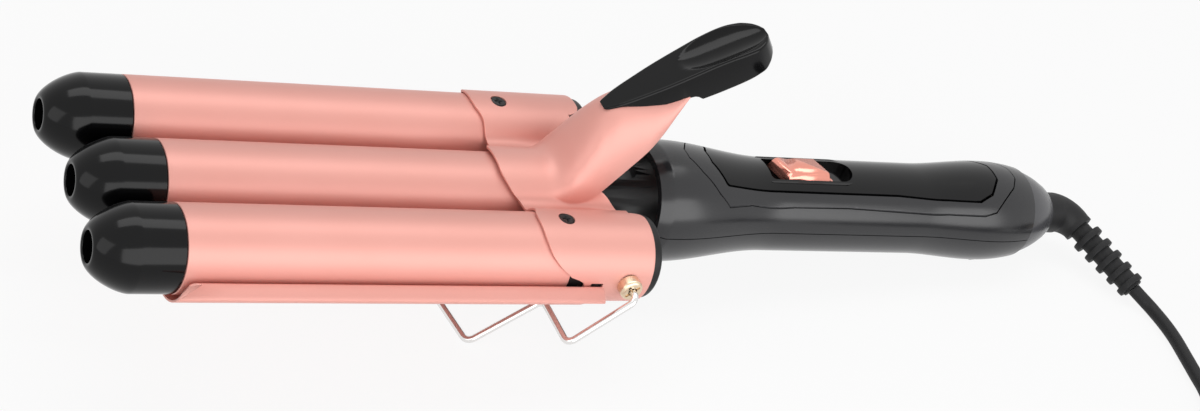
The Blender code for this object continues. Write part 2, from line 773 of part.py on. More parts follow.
def make_carriers(model):
    def carrier(side, word):
        spigot = barrel_bore() - GAP
        shoulder = BARREL_END + GAP
        outline = [(CARRIER_REAR, 0), (CARRIER_REAR, CARRIER_RADIUS - CARRIER_ROUNDING)]
        outline += arc((CARRIER_REAR, CARRIER_RADIUS - CARRIER_ROUNDING),
                       (CARRIER_REAR - CARRIER_ROUNDING, CARRIER_RADIUS), math.pi / 2, 3)[1:]
        outline += [(shoulder, CARRIER_RADIUS), (shoulder, spigot), (CARRIER_FRONT, spigot),
                    (CARRIER_FRONT, 0)]
        piece = turned(word + "_carrier", outline, (side * BARREL_PITCH, 0))
        piece = cut(piece, [hinge_hole(side, HINGE_RADIUS + GAP), carrier_screw_hole(side)])
        model.add(piece, word + "_carrier", BLACK_SATIN, model.jaw)
        model.add(carrier_screw(side), word + "_carrier_screw", BLACK_SATIN, model.jaw)

    both_sides(carrier)


def bridge_radius():
    """Middle line of the sheet over an outer barrel."""
    return BARREL_RADIUS + GAP + SHEET / 2


def bridge_middle_radius():
    return BARREL_RADIUS + BRIDGE_MIDDLE_CLEARANCE + SHEET / 2


def valley_centre(outer, middle, fillet, drop_sign):
    """Centre of the rounding that touches an outer arc and the middle arc, in (y, z)."""
    reach_outer = outer + fillet
    reach_middle = middle + fillet
    span = math.hypot(BARREL_PITCH, MIDDLE_DROP)
    along = (span ** 2 + reach_middle ** 2 - reach_outer ** 2) / (2 * span)
    off = math.sqrt(reach_middle ** 2 - along ** 2)
    way = Vector((BARREL_PITCH / span, MIDDLE_DROP / span))
    across = Vector((-way.y, way.x)) * drop_sign
    return Vector((0, -MIDDLE_DROP)) + way * along + across * off


def arc_about(centre, radius, start, end, count):
    """Points on an arc by angles measured from +Y towards +Z."""
    points = []
    for index in range(count + 1):
        angle = start + (end - start) * index / count
        points.append(Vector((centre[0] + radius * math.cos(angle), centre[1] + radius * math.sin(angle))))
    return points


def angle_of(vector):
    return math.atan2(vector.y, vector.x)


def bridge_columns():
    """Half section of the plain bridge plate from the middle plane outwards, in (y, z)."""
    middle = Vector((0, -MIDDLE_DROP))
    outer = Vector((BARREL_PITCH, 0))
    fillet = BRIDGE_VALLEY_RADIUS
    valley = valley_centre(bridge_radius(), bridge_middle_radius(), fillet, 1)
    middle_end = angle_of(valley - middle)
    outer_start = angle_of(valley - outer)
    columns = arc_about(middle, bridge_middle_radius(), math.pi / 2, middle_end, MIDDLE_COLUMN_COUNT)
    start = angle_of(middle - valley)
    end = angle_of(outer - valley)
    columns += arc_about(valley, fillet, start % (2 * math.pi), end % (2 * math.pi), VALLEY_COLUMN_COUNT)[1:]
    skirt = math.pi / 2 - BRIDGE_SKIRT_ANGLE
    columns += arc_about(outer, bridge_radius(), outer_start, skirt, OUTER_COLUMN_COUNT)[1:]
    return columns


def bridge_front(column, place):
    """X of the bridge plate's swept front edge at a column."""
    right_angle = math.pi / 2
    tilt_outer = math.atan2(place.x - BARREL_PITCH, place.y) / right_angle
    tilt_middle = math.atan2(place.x, place.y + MIDDLE_DROP) / right_angle
    table = BRIDGE_OUTSIDE_SHARES if tilt_outer > 0 else BRIDGE_INSIDE_SHARES
    from_outer = BRIDGE_CROWN_X + BRIDGE_SWEEP * read_shares(table, abs(tilt_outer))
    from_middle = BRIDGE_MIDDLE_X + BRIDGE_SWEEP * read_shares(BRIDGE_MIDDLE_SHARES, tilt_middle)
    share = min(max((column - MIDDLE_COLUMN_COUNT) / VALLEY_COLUMN_COUNT, 0), 1)
    return from_middle + (from_outer - from_middle) * share


def bridge_cut(column):
    """X of the front of the cut-out beside the neck, deepest in the valley."""
    along = (column - MIDDLE_COLUMN_COUNT) / (2 * VALLEY_COLUMN_COUNT)
    if not 0 < along < 1:
        return BRIDGE_CUT_X
    return BRIDGE_CUT_X + BRIDGE_CUT_DIP * math.sin(math.pi * along)


def neck_share(x):
    return min(max((x - NECK_BASE_X) / (NECK_TIP_X - NECK_BASE_X), 0), 1)


def neck_crown(x):
    base = bridge_middle_radius() - MIDDLE_DROP
    return base + (NECK_TIP_HEIGHT - base) * read_shares(NECK_CROWN_SHARES, neck_share(x))


def neck_half_width(x):
    return NECK_HALF_WIDTH * read_shares(NECK_WIDTH_SHARES, neck_share(x))


def neck_edge(x):
    return NECK_TIP_HEIGHT * read_shares(NECK_EDGE_SHARES, neck_share(x))


def neck_section(x, columns):
    """Half section of the plate at x where the neck rises, blended from the plain section."""
    blend = smoothstep(x, NECK_BASE_X, NECK_BASE_X + (BRIDGE_CUT_X - NECK_BASE_X) / 2)
    width = neck_half_width(x)
    edge = neck_edge(x)
    crown = neck_crown(x)
    section = []
    for index, plain in enumerate(columns[:MIDDLE_COLUMN_COUNT + 1]):
        angle = math.pi / 2 * index / MIDDLE_COLUMN_COUNT
        fullness = NECK_FULLNESS_SHARE
        across = math.sin(angle) ** fullness
        height = max(math.cos(angle), 0) ** fullness if index < MIDDLE_COLUMN_COUNT else 0
        arch = Vector((width * across, edge + (crown - edge) * height))
        section.append(plain.lerp(arch, blend))
    shift = section[-1] - columns[MIDDLE_COLUMN_COUNT]
    for index in range(1, VALLEY_COLUMN_COUNT + 1):
        share = (1 - index / VALLEY_COLUMN_COUNT) ** 2
        section.append(columns[MIDDLE_COLUMN_COUNT + index] + shift * share)
    section += columns[MIDDLE_COLUMN_COUNT + VALLEY_COLUMN_COUNT + 1:]
    return section


def bridge_sheet():
    """Half of the pressed sheet as an open grid, mirrored and thickened."""
    columns = bridge_columns()
    last = len(columns) - 1
    cut_column = bridge_cut_column(columns)
    shape = bmesh.new()
    rows = []
    for share in BRIDGE_ROW_SHARES:
        row = []
        for index, place in enumerate(columns):
            front = bridge_front(index, place)
            x = front + (bridge_cut(index) - front) * share
            row.append(bridge_point(x, index, columns))
        rows.append([shape.verts.new(point) for point in row])
    for row, following in zip(rows, rows[1:]):
        add_strip(shape, row, following, 0, last)
    border = rows[-1]
    previous = border
    for x in stations(BRIDGE_CUT_X, NECK_TIP_X, NECK_ROW_COUNT)[1:]:
        row = [shape.verts.new(bridge_point(x, index, columns)) for index in range(MIDDLE_COLUMN_COUNT + 1)]
        add_strip(shape, previous, row, 0, MIDDLE_COLUMN_COUNT)
        previous = row
    previous = border[cut_column:]
    for x in stations(BRIDGE_CUT_X, BRIDGE_REAR, REAR_ROW_COUNT)[1:]:
        row = [shape.verts.new((x, place.x, place.y)) for place in columns[cut_column:]]
        add_strip(shape, previous, row, 0, last - cut_column)
        previous = row
    piece = from_bmesh("bridge_plate", shape)
    thicken(piece)
    return bake(piece)


def bridge_cut_column(columns):
    """First column, from the middle, that runs on behind the cut-outs beside the neck."""
    for index, place in enumerate(columns):
        tilt = math.atan2(BARREL_PITCH - place.x, place.y)
        if index > MIDDLE_COLUMN_COUNT + VALLEY_COLUMN_COUNT and tilt < BRIDGE_CUT_ANGLE:
            return index
    return len(columns) - 1


def bridge_point(x, index, columns):
    place = columns[index]
    if x > NECK_BASE_X:
        place = neck_section(min(x, NECK_TIP_X), columns)[index]
    return (x, place.x, place.y)


def add_strip(shape, row, following, first, last):
    for index in range(first, last):
        shape.faces.new((row[index], row[index + 1], following[index + 1], following[index]))


def thicken(piece):
    mirror = piece.modifiers.new("halves", "MIRROR")
    mirror.use_axis = (False, True, False)
    mirror.use_clip = True
    mirror.merge_threshold = MERGE
    wall = piece.modifiers.new("wall", "SOLIDIFY")
    wall.thickness = SHEET
    wall.offset = 0
    wall.use_even_offset = True


def make_bridge(model):
    plate = bridge_sheet()
    tools = []
    for side in (-1, 1):
        tools.append(carrier_screw_hole(side))
        tools.append(hinge_hole(side, HINGE_RADIUS + GAP))
    tools += pad_screw_holes()
    plate = cut(plate, tools)
    model.add(plate, "bridge_plate", ROSE_SATIN, model.jaw)


def pad_front():
    """Front end of the pad's top, a little above the neck's crown."""
    return Vector((PAD_FRONT_X, 0, neck_crown(PAD_FRONT_X) + PAD_FRONT_RISE))


def pad_axis():
    """The way of the pad's top, from its front end to over the neck's tip."""
    return (Vector((NECK_TIP_X, 0, NECK_TIP_HEIGHT + PAD_TIP_RISE)) - pad_front()).normalized()


def pad_up():
    way = pad_axis()
    return Vector((-way.z, 0, way.x))


def pad_point(share):
    return pad_front() + pad_axis() * PAD_LENGTH * share


def pad_ring(share):
    """Rounded section of the thumb pad: flat top, slightly flared sides, flat underside."""
    width = PAD_HALF_WIDTH * read_shares(PAD_WIDTH_SHARES, share)
    fall = read_shares(PAD_DEPTH_SHARES, share)
    depth = PAD_FRONT_DEPTH + (PAD_DEPTH - PAD_FRONT_DEPTH) * fall
    base = width + PAD_FLARE
    corners = [(-width, 0), (width, 0), (base, -depth), (-base, -depth)]
    edge = min(PAD_EDGE, width / 3, depth / 3)
    section = rounded([Vector((y, z)) for y, z in corners], [edge] * 4, 2)
    origin = pad_point(share)
    return [origin + Vector((0, point.x, 0)) + pad_up() * point.y for point in section]


def neck_envelope():
    """A solid that fills the neck's channel and its sheet, for seating the pad on it."""
    columns = bridge_columns()
    grow = SHEET / 2 + GAP
    rings = []
    for x in stations(NECK_BASE_X + (BRIDGE_CUT_X - NECK_BASE_X) / 2, NECK_TIP_X + GAP, 10):
        half = neck_section(x, columns)[:MIDDLE_COLUMN_COUNT + 1]
        ring = [Vector((x, side_y(place, half, grow), place.y + grow)) for place in half]
        mirrored = [Vector((x, -point.y, point.z)) for point in reversed(ring[1:])]
        floor = [Vector((x, -ring[-1].y, 0)), Vector((x, ring[-1].y, 0))]
        rings.append(mirrored + ring + list(reversed(floor)))
    return loft("neck_envelope", rings)


def side_y(place, half, grow):
    return place.x * (1 + grow / half[-1].x) if half[-1].x else place.x


def make_pad(model):
    pad = loft("thumb_pad", [pad_ring(share) for share in PAD_STATION_SHARES])
    dish = bmesh.new()
    bmesh.ops.create_uvsphere(dish, u_segments=16, v_segments=8, radius=1)
    bmesh.ops.scale(dish, vec=(PAD_DISH_LENGTH, PAD_DISH_WIDTH, PAD_DISH_DEPTH), verts=dish.verts)
    turn = Matrix.Rotation(-math.atan2(pad_axis().z, pad_axis().x), 4, "Y")
    bmesh.ops.transform(dish, matrix=Matrix.Translation(pad_point(PAD_DISH_AT_SHARE)) @ turn, verts=dish.verts)
    pad = cut(pad, [neck_envelope(), from_bmesh("dish", dish)] + pad_screw_holes())
    model.add(pad, "thumb_pad", BLACK_GLOSS, model.jaw)
    for word, (foot, way) in zip(("front", "rear"), pad_screw_seats()):
        piece = screw_head("screw", foot, -way, PAD_SCREW_RADIUS, PAD_SCREW_HEAD,
                           PAD_SCREW_SHANK, PAD_SCREW_LENGTH, cross=False)
        model.add(piece, word + "_pad_screw", STEEL, model.jaw)


def pad_screw_seats():
    """Where the screw heads sit inside the neck, and the way in which they drive."""
    seats = []
    for share in PAD_SCREW_SHARES:
        x = pad_point(share).x
        before = Vector((x - SHEET, 0, neck_crown(x - SHEET)))
        after = Vector((x + SHEET, 0, neck_crown(x + SHEET)))
        way = (after - before).normalized()
        up = Vector((-way.z, 0, way.x))
        seats.append((Vector((x, 0, neck_crown(x))) - up * (SHEET / 2 + GAP), up))
    return seats


def pad_screw_holes():
    holes = []
    for foot, up in pad_screw_seats():
        holes.append(rod("hole", PAD_SCREW_SHANK + GAP, foot - up * OVERRUN,
                         foot + up * (PAD_SCREW_LENGTH + GAP)))
    return holes


def trough_radius():
    return BARREL_RADIUS + TROUGH_CLEARANCE + SHEET / 2


def trough_middle_radius():
    return BARREL_RADIUS + GAP + SHEET / 2


def lower_columns():
    """Half section of the lower plate from the middle plane out to the lip, in (y, z)."""
    middle = Vector((0, -MIDDLE_DROP))
    outer = Vector((BARREL_PITCH, 0))
    fillet = BRIDGE_VALLEY_RADIUS
    valley = valley_centre(trough_radius(), trough_middle_radius(), fillet, -1)
    columns = arc_about(middle, trough_middle_radius(), -math.pi / 2, angle_of(valley - middle), 6)
    start = angle_of(middle - valley)
    end = angle_of(outer - valley)
    columns += arc_about(valley, fillet, start % (2 * math.pi), end % (2 * math.pi), 4)[1:]
    low = angle_of(valley - outer) % (2 * math.pi)
    bend = math.asin(LIP_BEND_RADIUS / (trough_radius() + LIP_BEND_RADIUS))
    columns += arc_about(outer, trough_radius(), low, 2 * math.pi - bend, 12)[1:]
    turn = arc_about((BARREL_PITCH + (trough_radius() + LIP_BEND_RADIUS) * math.cos(bend), -LIP_BEND_RADIUS),
                     LIP_BEND_RADIUS, math.pi - bend, math.pi / 2, 3)
    columns += turn[1:]
    columns.append(Vector((LIP_HALF_WIDTH, -LIP_DROOP)))
    return columns


def lower_front(index, last):
    """X of the lower plate's front edge: a notch at the bend, then the lip's corner ahead of it."""
    if index == last:
        return LIP_FRONT
    notch = max(index - last + LIP_COLUMN_COUNT + 1, 0) / LIP_COLUMN_COUNT
    return LOWER_FRONT + (LIP_NOTCH - LOWER_FRONT) * notch


def lower_sheet():
    columns = lower_columns()
    last = len(columns) - 1
    shape = bmesh.new()
    rows = []
    for share in (0, 1):
        row = []
        for index, place in enumerate(columns):
            front = lower_front(index, last)
            row.append(shape.verts.new((front + (LOWER_REAR - front) * share, place.x, place.y)))
        rows.append(row)
    add_strip(shape, rows[0], rows[1], 0, last)
    tongue = 6
    rear = [shape.verts.new((TONGUE_REAR, place.x, place.y)) for place in columns[:tongue]]
    add_strip(shape, rows[1], rear, 0, tongue - 1)
    piece = from_bmesh("lower_plate", shape)
    thicken(piece)
    return bake(piece)


def lower_screw_foot(x):
    return Vector((x, 0, -MIDDLE_DROP - BARREL_RADIUS - GAP - SHEET - GAP))


def make_lower_plate(model):
    plate = lower_sheet()
    holes = []
    for word, x in zip(("front", "rear"), LOWER_SCREW_PLACES):
        foot = lower_screw_foot(x)
        holes.append(rod("hole", LOWER_SCREW_SHANK + GAP, foot - Vector((0, 0, OVERRUN)),
                         foot + Vector((0, 0, LOWER_SCREW_LENGTH / 2))))
        piece = screw_head("screw", foot, (0, 0, -1), LOWER_SCREW_HEAD, LOWER_SCREW_RISE,
                           LOWER_SCREW_SHANK, LOWER_SCREW_LENGTH)
        model.add(piece, word + "_plate_screw", STEEL, model.iron)
    model.add(cut(plate, holes), "lower_plate", ROSE_SATIN, model.iron)


def make_housing(model):
    """Plug of the middle barrel, hinge block and flange of the handle in one moulding."""
    centre_z = -MIDDLE_DROP
    collar = MIDDLE_END + GAP
    flange = handle_radius(HOUSING_FLANGE_X) - HANDLE_WALL - GAP - abs(centre_z - HANDLE_Z)
    tail = HOUSING_FLANGE_X + HOUSING_FLANGE
    outline = [(tail + HOUSING_TAIL, 0), (tail + HOUSING_TAIL, HOUSING_RADIUS), (tail, HOUSING_RADIUS),
               (tail, flange), (HOUSING_FLANGE_X, flange), (HOUSING_FLANGE_X, HOUSING_RADIUS),
               (collar + HOUSING_COLLAR, HOUSING_RADIUS), (collar + HOUSING_COLLAR, BARREL_RADIUS),
               (collar, BARREL_RADIUS), (collar, HOUSING_RADIUS), (HOUSING_FRONT, HOUSING_RADIUS),
               (HOUSING_FRONT, 0)]
    body = turned("front_housing", outline, (0, centre_z))
    hinge_boss = rod("boss", HOUSING_BOSS_RADIUS, (HINGE_X, -HOUSING_BOSS_REACH, HINGE_Z),
                     (HINGE_X, HOUSING_BOSS_REACH, HINGE_Z), steps=16)
    foot, up = spring_line()
    seat_boss = rod("boss", SEAT_RADIUS, foot - up * SEAT_BOSS_DEPTH, foot, steps=16)
    pads = []
    for x in LOWER_SCREW_PLACES:
        start = lower_screw_foot(x) + Vector((0, 0, SHEET + GAP + GAP))
        pads.append(rod("boss", LOWER_SCREW_HEAD, start, start + Vector((0, 0, LOWER_SCREW_LENGTH / 2))))
    body = cut(body, [hinge_boss, seat_boss] + pads, "UNION")
    tools = [rod("bore", HINGE_RADIUS + GAP, (HINGE_X, -HOUSING_BOSS_REACH - OVERRUN, HINGE_Z),
                 (HINGE_X, HOUSING_BOSS_REACH + OVERRUN, HINGE_Z))]
    for x in LOWER_SCREW_PLACES:
        start = lower_screw_foot(x) - Vector((0, 0, OVERRUN))
        end = lower_screw_foot(x) + Vector((0, 0, LOWER_SCREW_LENGTH + GAP))
        tools.append(rod("hole", LOWER_SCREW_SHANK + GAP, start, end))
    model.add(cut(body, tools), "front_housing", BLACK_SATIN, model.iron)


def hinge_screw_seat():
    return BARREL_PITCH + bridge_radius() + SHEET / 2 + GAP


def make_hinge(model):
    reach = hinge_screw_seat() - GAP
    outline = [(reach, HINGE_BORE), (reach, HINGE_RADIUS), (-reach, HINGE_RADIUS), (-reach, HINGE_BORE)]
    shaft = turned_at("hinge_tube", outline, (HINGE_X, 0, HINGE_Z), (0, 1, 0), closed=True)
    model.add(shaft, "hinge_tube", STEEL, model.iron)

    def side_pieces(side, word):
        hole = WIRE_RADIUS + GAP
        shank = HINGE_BORE - GAP
        top = HINGE_SCREW_HEAD
        outline = [(-HINGE_SCREW_SHANK, hole), (top, hole), (top, HINGE_SCREW_RADIUS - HINGE_SCREW_BEVEL),
                   (top - HINGE_SCREW_BEVEL, HINGE_SCREW_RADIUS), (0, HINGE_SCREW_RADIUS), (0, shank),
                   (-HINGE_SCREW_SHANK, shank)]
        seat = Vector((HINGE_X, side * hinge_screw_seat(), HINGE_Z))
        head = turned_at("screw", outline, seat, (0, side, 0), closed=True, steps=24)
        model.add(head, word + "_hinge_screw", BRASS_PALE, model.iron)
        start = side * (HOUSING_BOSS_REACH + GAP)
        end = side * (BARREL_PITCH - CARRIER_RADIUS - GAP)
        ring = rod("spacer", SPACER_RADIUS, (HINGE_X, start, HINGE_Z), (HINGE_X, end, HINGE_Z), steps=16)
        margin = side * OVERRUN
        bore = rod("bore", HINGE_RADIUS + GAP, (HINGE_X, start - margin, HINGE_Z),
                   (HINGE_X, end + margin, HINGE_Z))
        model.add(cut(ring, [bore]), word + "_hinge_spacer", CREAM, model.iron)

    both_sides(side_pieces)


def spring_line():
    """Foot of the lever spring's seat on the housing, and the way that it points."""
    up = Vector((-math.sin(SPRING_LEAN), 0, math.cos(SPRING_LEAN)))
    foot = Vector((SPRING_FOOT_X, 0, -MIDDLE_DROP + HOUSING_RADIUS + SPRING_FOOT_RISE))
    return foot, up


def spring_length():
    """Room for the spring between its seat and the inside of the neck's crown."""
    foot, up = spring_line()
    start = foot + up * (GAP + SEAT_THICKNESS)
    reach = 0
    step = SPRING_WIRE / 4
    while True:
        tip = start + up * reach
        if tip.z + SHEET / 2 >= neck_crown(tip.x):
            return reach - SPRING_HEAD_CLEARANCE
        reach += step


def make_spring(model):
    foot, up = spring_line()
    base = foot + up * GAP
    seat = turned_at("spring_seat", [(SEAT_THICKNESS + SEAT_STUD_LENGTH, 0),
                                     (SEAT_THICKNESS + SEAT_STUD_LENGTH, SEAT_STUD_RADIUS),
                                     (SEAT_THICKNESS, SEAT_STUD_RADIUS), (SEAT_THICKNESS, SEAT_RADIUS),
                                     (0, SEAT_RADIUS), (0, 0)], base, up, steps=16)
    model.add(seat, "spring_seat", CREAM, model.iron)
    start = SEAT_THICKNESS + GAP + SPRING_WIRE
    height = spring_length() - GAP - 2 * SPRING_WIRE
    across = Vector((0, 1, 0))
    side = up.cross(across)
    points = []
    count = SPRING_TURNS * 8
    for index in range(count + 1):
        share = index / count
        angle = 2 * math.pi * SPRING_TURNS * share
        climb = start + height * coil_climb(share)
        points.append(base + up * climb + (across * math.cos(angle) + side * math.sin(angle)) * SPRING_RADIUS)
    report_gap("lever_spring", points, SPRING_WIRE)
    model.add(tube("lever_spring", points, SPRING_WIRE, 1), "lever_spring", CHROME, model.iron)


def coil_climb(share):
    """Height of a compression spring along its wire, with closer turns at both ends."""
    return share - math.sin(2 * math.pi * share) / (2 * math.pi) * SPRING_END_SHARE


def report_gap(name, points, radius):
    """Prints the least gap of a wound tube to itself, measured on its points."""
    places = np.array([tuple(point) for point in points])
    steps = np.linalg.norm(np.diff(places, axis=0), axis=1)
    run = np.concatenate([[0], np.cumsum(steps)])
    apart = np.linalg.norm(places[:, None, :] - places[None, :, :], axis=2)
    far_along = np.abs(run[:, None] - run[None, :]) > 6 * radius
    least = apart[far_along].min() - 2 * radius
    print(f"{name}: least gap to itself {least * 1000:.2f} mm, length {run[-1]:.4f} m")


def handle_outline(start, end, count, inset):
    return [(x, handle_radius(x) - inset) for x in stations(start, end, count)]


def handle_skin():
    """The handle's wall from its front lip to the end cap, as one turned tube."""
    outer = handle_outline(HANDLE_FRONT, HANDLE_RING_X, 1, 0)
    outer += handle_outline(HANDLE_RING_X, HANDLE_BELL_X, 1, 0)[1:]
    outer += handle_outline(HANDLE_BELL_X, HANDLE_WAIST_X, 6, 0)[1:]
    outer += handle_outline(HANDLE_WAIST_X, HANDLE_SWELL_X, 1, 0)[1:]
    outer += handle_outline(HANDLE_SWELL_X, HANDLE_HEEL_X, 5, 0)[1:]
    outer += handle_outline(HANDLE_HEEL_X, HANDLE_CAP_X, 3, 0)[1:]
    inner = [(HANDLE_FRONT, handle_radius(HOUSING_FLANGE_X) - HANDLE_WALL),
             (HANDLE_BELL_X, handle_radius(HOUSING_FLANGE_X) - HANDLE_WALL)]
    inner += handle_outline(HANDLE_BELL_X, HANDLE_WAIST_X, 4, HANDLE_WALL)[1:]
    inner += handle_outline(HANDLE_WAIST_X, HANDLE_CAP_X, 1, HANDLE_WALL)[1:]
    inner[-1] = (HANDLE_CAP_X, HANDLE_WAIST_RADIUS - HANDLE_WALL)
    return turned("handle_skin", list(reversed(outer)) + inner, (0, HANDLE_Z), closed=True)


def plan_outline(front, rear, half_width, shares, corner, grow):
    """A closed outline in plan from a table of half widths along its length."""
    length = rear - front
    upper = [Vector((front - grow + (length + 2 * grow) * along, half_width * width + grow))
             for along, width in shares]
    lower = [Vector((point.x, -point.y)) for point in reversed(upper)]
    points = upper + lower
    radii = []
    for index, point in enumerate(points):
        back = (points[index - 1] - point).normalized()
        ahead = (points[(index + 1) % len(points)] - point).normalized()
        radii.append(corner if back.angle(ahead) < CORNER_ANGLE else 0)
    return rounded(points, radii, 3)


def cover_outline(grow):
    return plan_outline(COVER_FRONT, COVER_REAR, COVER_HALF_WIDTH, COVER_SHARES, COVER_CORNER, grow)


def inlay_outline(grow):
    return plan_outline(INLAY_FRONT, INLAY_REAR, INLAY_HALF_WIDTH, INLAY_SHARES, INLAY_CORNER, grow)


def handle_box(low_z, high_z):
    reach = HANDLE_BELL_RADIUS + OVERRUN
    return block("half", (HANDLE_FRONT - OVERRUN, -reach, low_z), (HANDLE_CAP_X + OVERRUN, reach, high_z))


def cover_floor():
    """Height above which the cover's outline cuts the upper wall."""
    return HANDLE_Z + COVER_LEDGE


def make_shells(model):
    reach = HANDLE_BELL_RADIUS + OVERRUN
    top = HANDLE_Z + reach
    skin = handle_skin()
    upper = cut(copy_of(skin), [handle_box(HANDLE_Z + GAP / 2, top)], "INTERSECT")
    cover = copy_of(upper)
    upper = cut(upper, [prism("tool", cover_outline(GAP / 2), cover_floor(), top)])
    cover = cut(cover, [prism("tool", cover_outline(-GAP / 2), cover_floor(), top)], "INTERSECT")
    inlay = copy_of(cover)
    cover = cut(cover, [prism("tool", inlay_outline(INLAY_GROOVE / 2), cover_floor(), top)])
    inlay = cut(inlay, [prism("tool", inlay_outline(-INLAY_GROOVE / 2), cover_floor(), top)], "INTERSECT")
    model.add(upper, "handle_upper_shell", BLACK_GLOSS, model.iron)
    model.add(cover, "top_cover", BLACK_GLOSS, model.iron)
    make_inlay(model, inlay)
    make_lower_shell(model, cut(skin, [handle_box(HANDLE_Z - reach, HANDLE_Z - GAP / 2)], "INTERSECT"))


def recess_floor():
    return HANDLE_Z + HANDLE_WAIST_RADIUS - RECESS_DEPTH


def recess_outline(grow):
    front = RECESS_FRONT - grow
    rear = RECESS_REAR + grow
    half = RECESS_HALF_WIDTH + grow
    corners = [Vector((front, -half)), Vector((rear, -half)), Vector((rear, half)), Vector((front, half))]
    return rounded(corners, [RECESS_CORNER, half - GAP, half - GAP, RECESS_CORNER], 4)


def make_inlay(model, inlay):
    floor = recess_floor()
    tub = prism("tub", recess_outline(RECESS_FLOOR), floor - RECESS_FLOOR,
                HANDLE_Z + HANDLE_WAIST_RADIUS - HANDLE_WALL / 2)
    inlay = cut(inlay, [tub], "UNION")
    recess = prism("recess", recess_outline(0), floor, HANDLE_Z + HANDLE_WAIST_RADIUS + OVERRUN)
    stem = stem_box(GAP, SWITCH_TRAVEL, floor - RECESS_FLOOR - OVERRUN, floor + OVERRUN)
    model.add(cut(inlay, [recess, stem]), "top_inlay", BLACK_GLOSS, model.iron)


def stem_box(clearance, travel, low, high):
    middle = BUTTON_FRONT + BUTTON_LENGTH / 2
    return block("stem", (middle - STEM_LENGTH / 2 - clearance, -STEM_HALF_WIDTH - clearance, low),
                 (middle + STEM_LENGTH / 2 + clearance + travel, STEM_HALF_WIDTH + clearance, high))


def make_switch(model):
    floor = recess_floor()
    low = floor + GAP
    high = HANDLE_Z + HANDLE_WAIST_RADIUS + BUTTON_RISE
    rings = []
    for height, draw in ((low, 0), (high - BUTTON_EDGE, BUTTON_DRAFT), (high, BUTTON_DRAFT + BUTTON_EDGE)):
        half = BUTTON_HALF_WIDTH - draw / 2
        front = BUTTON_FRONT + draw
        rear = BUTTON_FRONT + BUTTON_LENGTH - draw
        slant = BUTTON_SLANT / 2
        corners = [(front + slant, -half), (rear + slant, -half), (rear - slant, half), (front - slant, half)]
        outline = rounded([Vector(corner) for corner in corners], [BUTTON_EDGE] * 4, 2)
        rings.append([Vector((point.x, point.y, height)) for point in outline])
    button = loft("power_slider", rings)
    base = block("base", (BUTTON_FRONT + BUTTON_SLANT, -BUTTON_HALF_WIDTH, low),
                 (BUTTON_FRONT + BUTTON_LENGTH + BUTTON_BASE_REACH, BUTTON_HALF_WIDTH, low + BUTTON_BASE))
    stem = stem_box(0, 0, floor - RECESS_FLOOR - STEM_REACH, low + GAP)
    button = cut(button, [base, stem], "UNION")
    centre = Vector((BUTTON_FRONT + BUTTON_DISH_X, 0, high + BUTTON_DISH_RADIUS - BUTTON_DISH_DEPTH))
    dish = rod("dish", BUTTON_DISH_RADIUS, centre - Vector((0, BUTTON_HALF_WIDTH, 0)),
               centre + Vector((0, BUTTON_HALF_WIDTH, 0)), steps=32)
    model.add(cut(button, [dish]), "power_slider", ROSE_GLOSS, model.switch)
    middle = BUTTON_FRONT + BUTTON_LENGTH / 2 + SWITCH_TRAVEL / 2
    top = floor - RECESS_FLOOR - GAP
    body = block("switch_body", (middle - SWITCH_LENGTH / 2, -SWITCH_HALF_WIDTH, BOARD_Z + BOARD_THICKNESS + GAP),
                 (middle + SWITCH_LENGTH / 2, SWITCH_HALF_WIDTH, top))
    pocket = stem_box(GAP, SWITCH_TRAVEL, top - STEM_REACH - GAP, top + OVERRUN)
    model.add(cut(body, [pocket]), "switch_body", BLACK_SATIN, model.iron)


def make_board(model):
    board = block("control_board", (BOARD_FRONT, -BOARD_HALF_WIDTH, BOARD_Z),
                  (BOARD_REAR, BOARD_HALF_WIDTH, BOARD_Z + BOARD_THICKNESS))
    height = BOARD_Z + BOARD_THICKNESS + CAPACITOR_RADIUS - BOARD_EDGE
    can = rod("capacitor", CAPACITOR_RADIUS, (CAPACITOR_X, 0, height),
              (CAPACITOR_X + CAPACITOR_LENGTH, 0, height))
    model.add(cut(board, [can], "UNION"), "control_board", BOARD_GREEN, model.iron)


def shell_screw_head_z(x):
    return HANDLE_Z - handle_radius(x) + SHELL_SCREW_SINK + SHELL_SCREW_RISE


def make_lower_shell(model, lower):
    inner_floor = HANDLE_Z - HANDLE_WAIST_RADIUS + HANDLE_WALL
    ribs = []
    for x in RIB_PLACES:
        ribs.append(block("rib", (x, -BOARD_HALF_WIDTH, inner_floor - BOARD_EDGE),
                          (x + RIB_THICKNESS, BOARD_HALF_WIDTH, BOARD_Z - GAP)))
    for x in SHELL_SCREW_PLACES:
        foot = HANDLE_Z - handle_radius(x) + SHELL_SCREW_SINK
        ribs.append(rod("post", SHELL_POST_RADIUS, (x, 0, foot), (x, 0, BOARD_Z - GAP), steps=SMALL_STEPS))
    lower = cut(lower, ribs + [heel_wedge()], "UNION")
    holes = []
    for word, x in zip(("front", "rear"), SHELL_SCREW_PLACES):
        foot = shell_screw_head_z(x)
        surface = HANDLE_Z - handle_radius(x) - OVERRUN
        holes.append(rod("hole", SHELL_SCREW_HEAD + GAP, (x, 0, surface), (x, 0, foot + GAP)))
        holes.append(rod("hole", SHELL_SCREW_SHANK + GAP, (x, 0, surface), (x, 0, foot + SHELL_SCREW_LENGTH + GAP)))
        piece = screw_head("screw", Vector((x, 0, foot)), (0, 0, -1), SHELL_SCREW_HEAD,
                           SHELL_SCREW_RISE, SHELL_SCREW_SHANK, SHELL_SCREW_LENGTH)
        model.add(piece, word + "_shell_screw", STEEL, model.iron)
    model.add(cut(lower, holes), "handle_lower_shell", BLACK_GLOSS, model.iron)


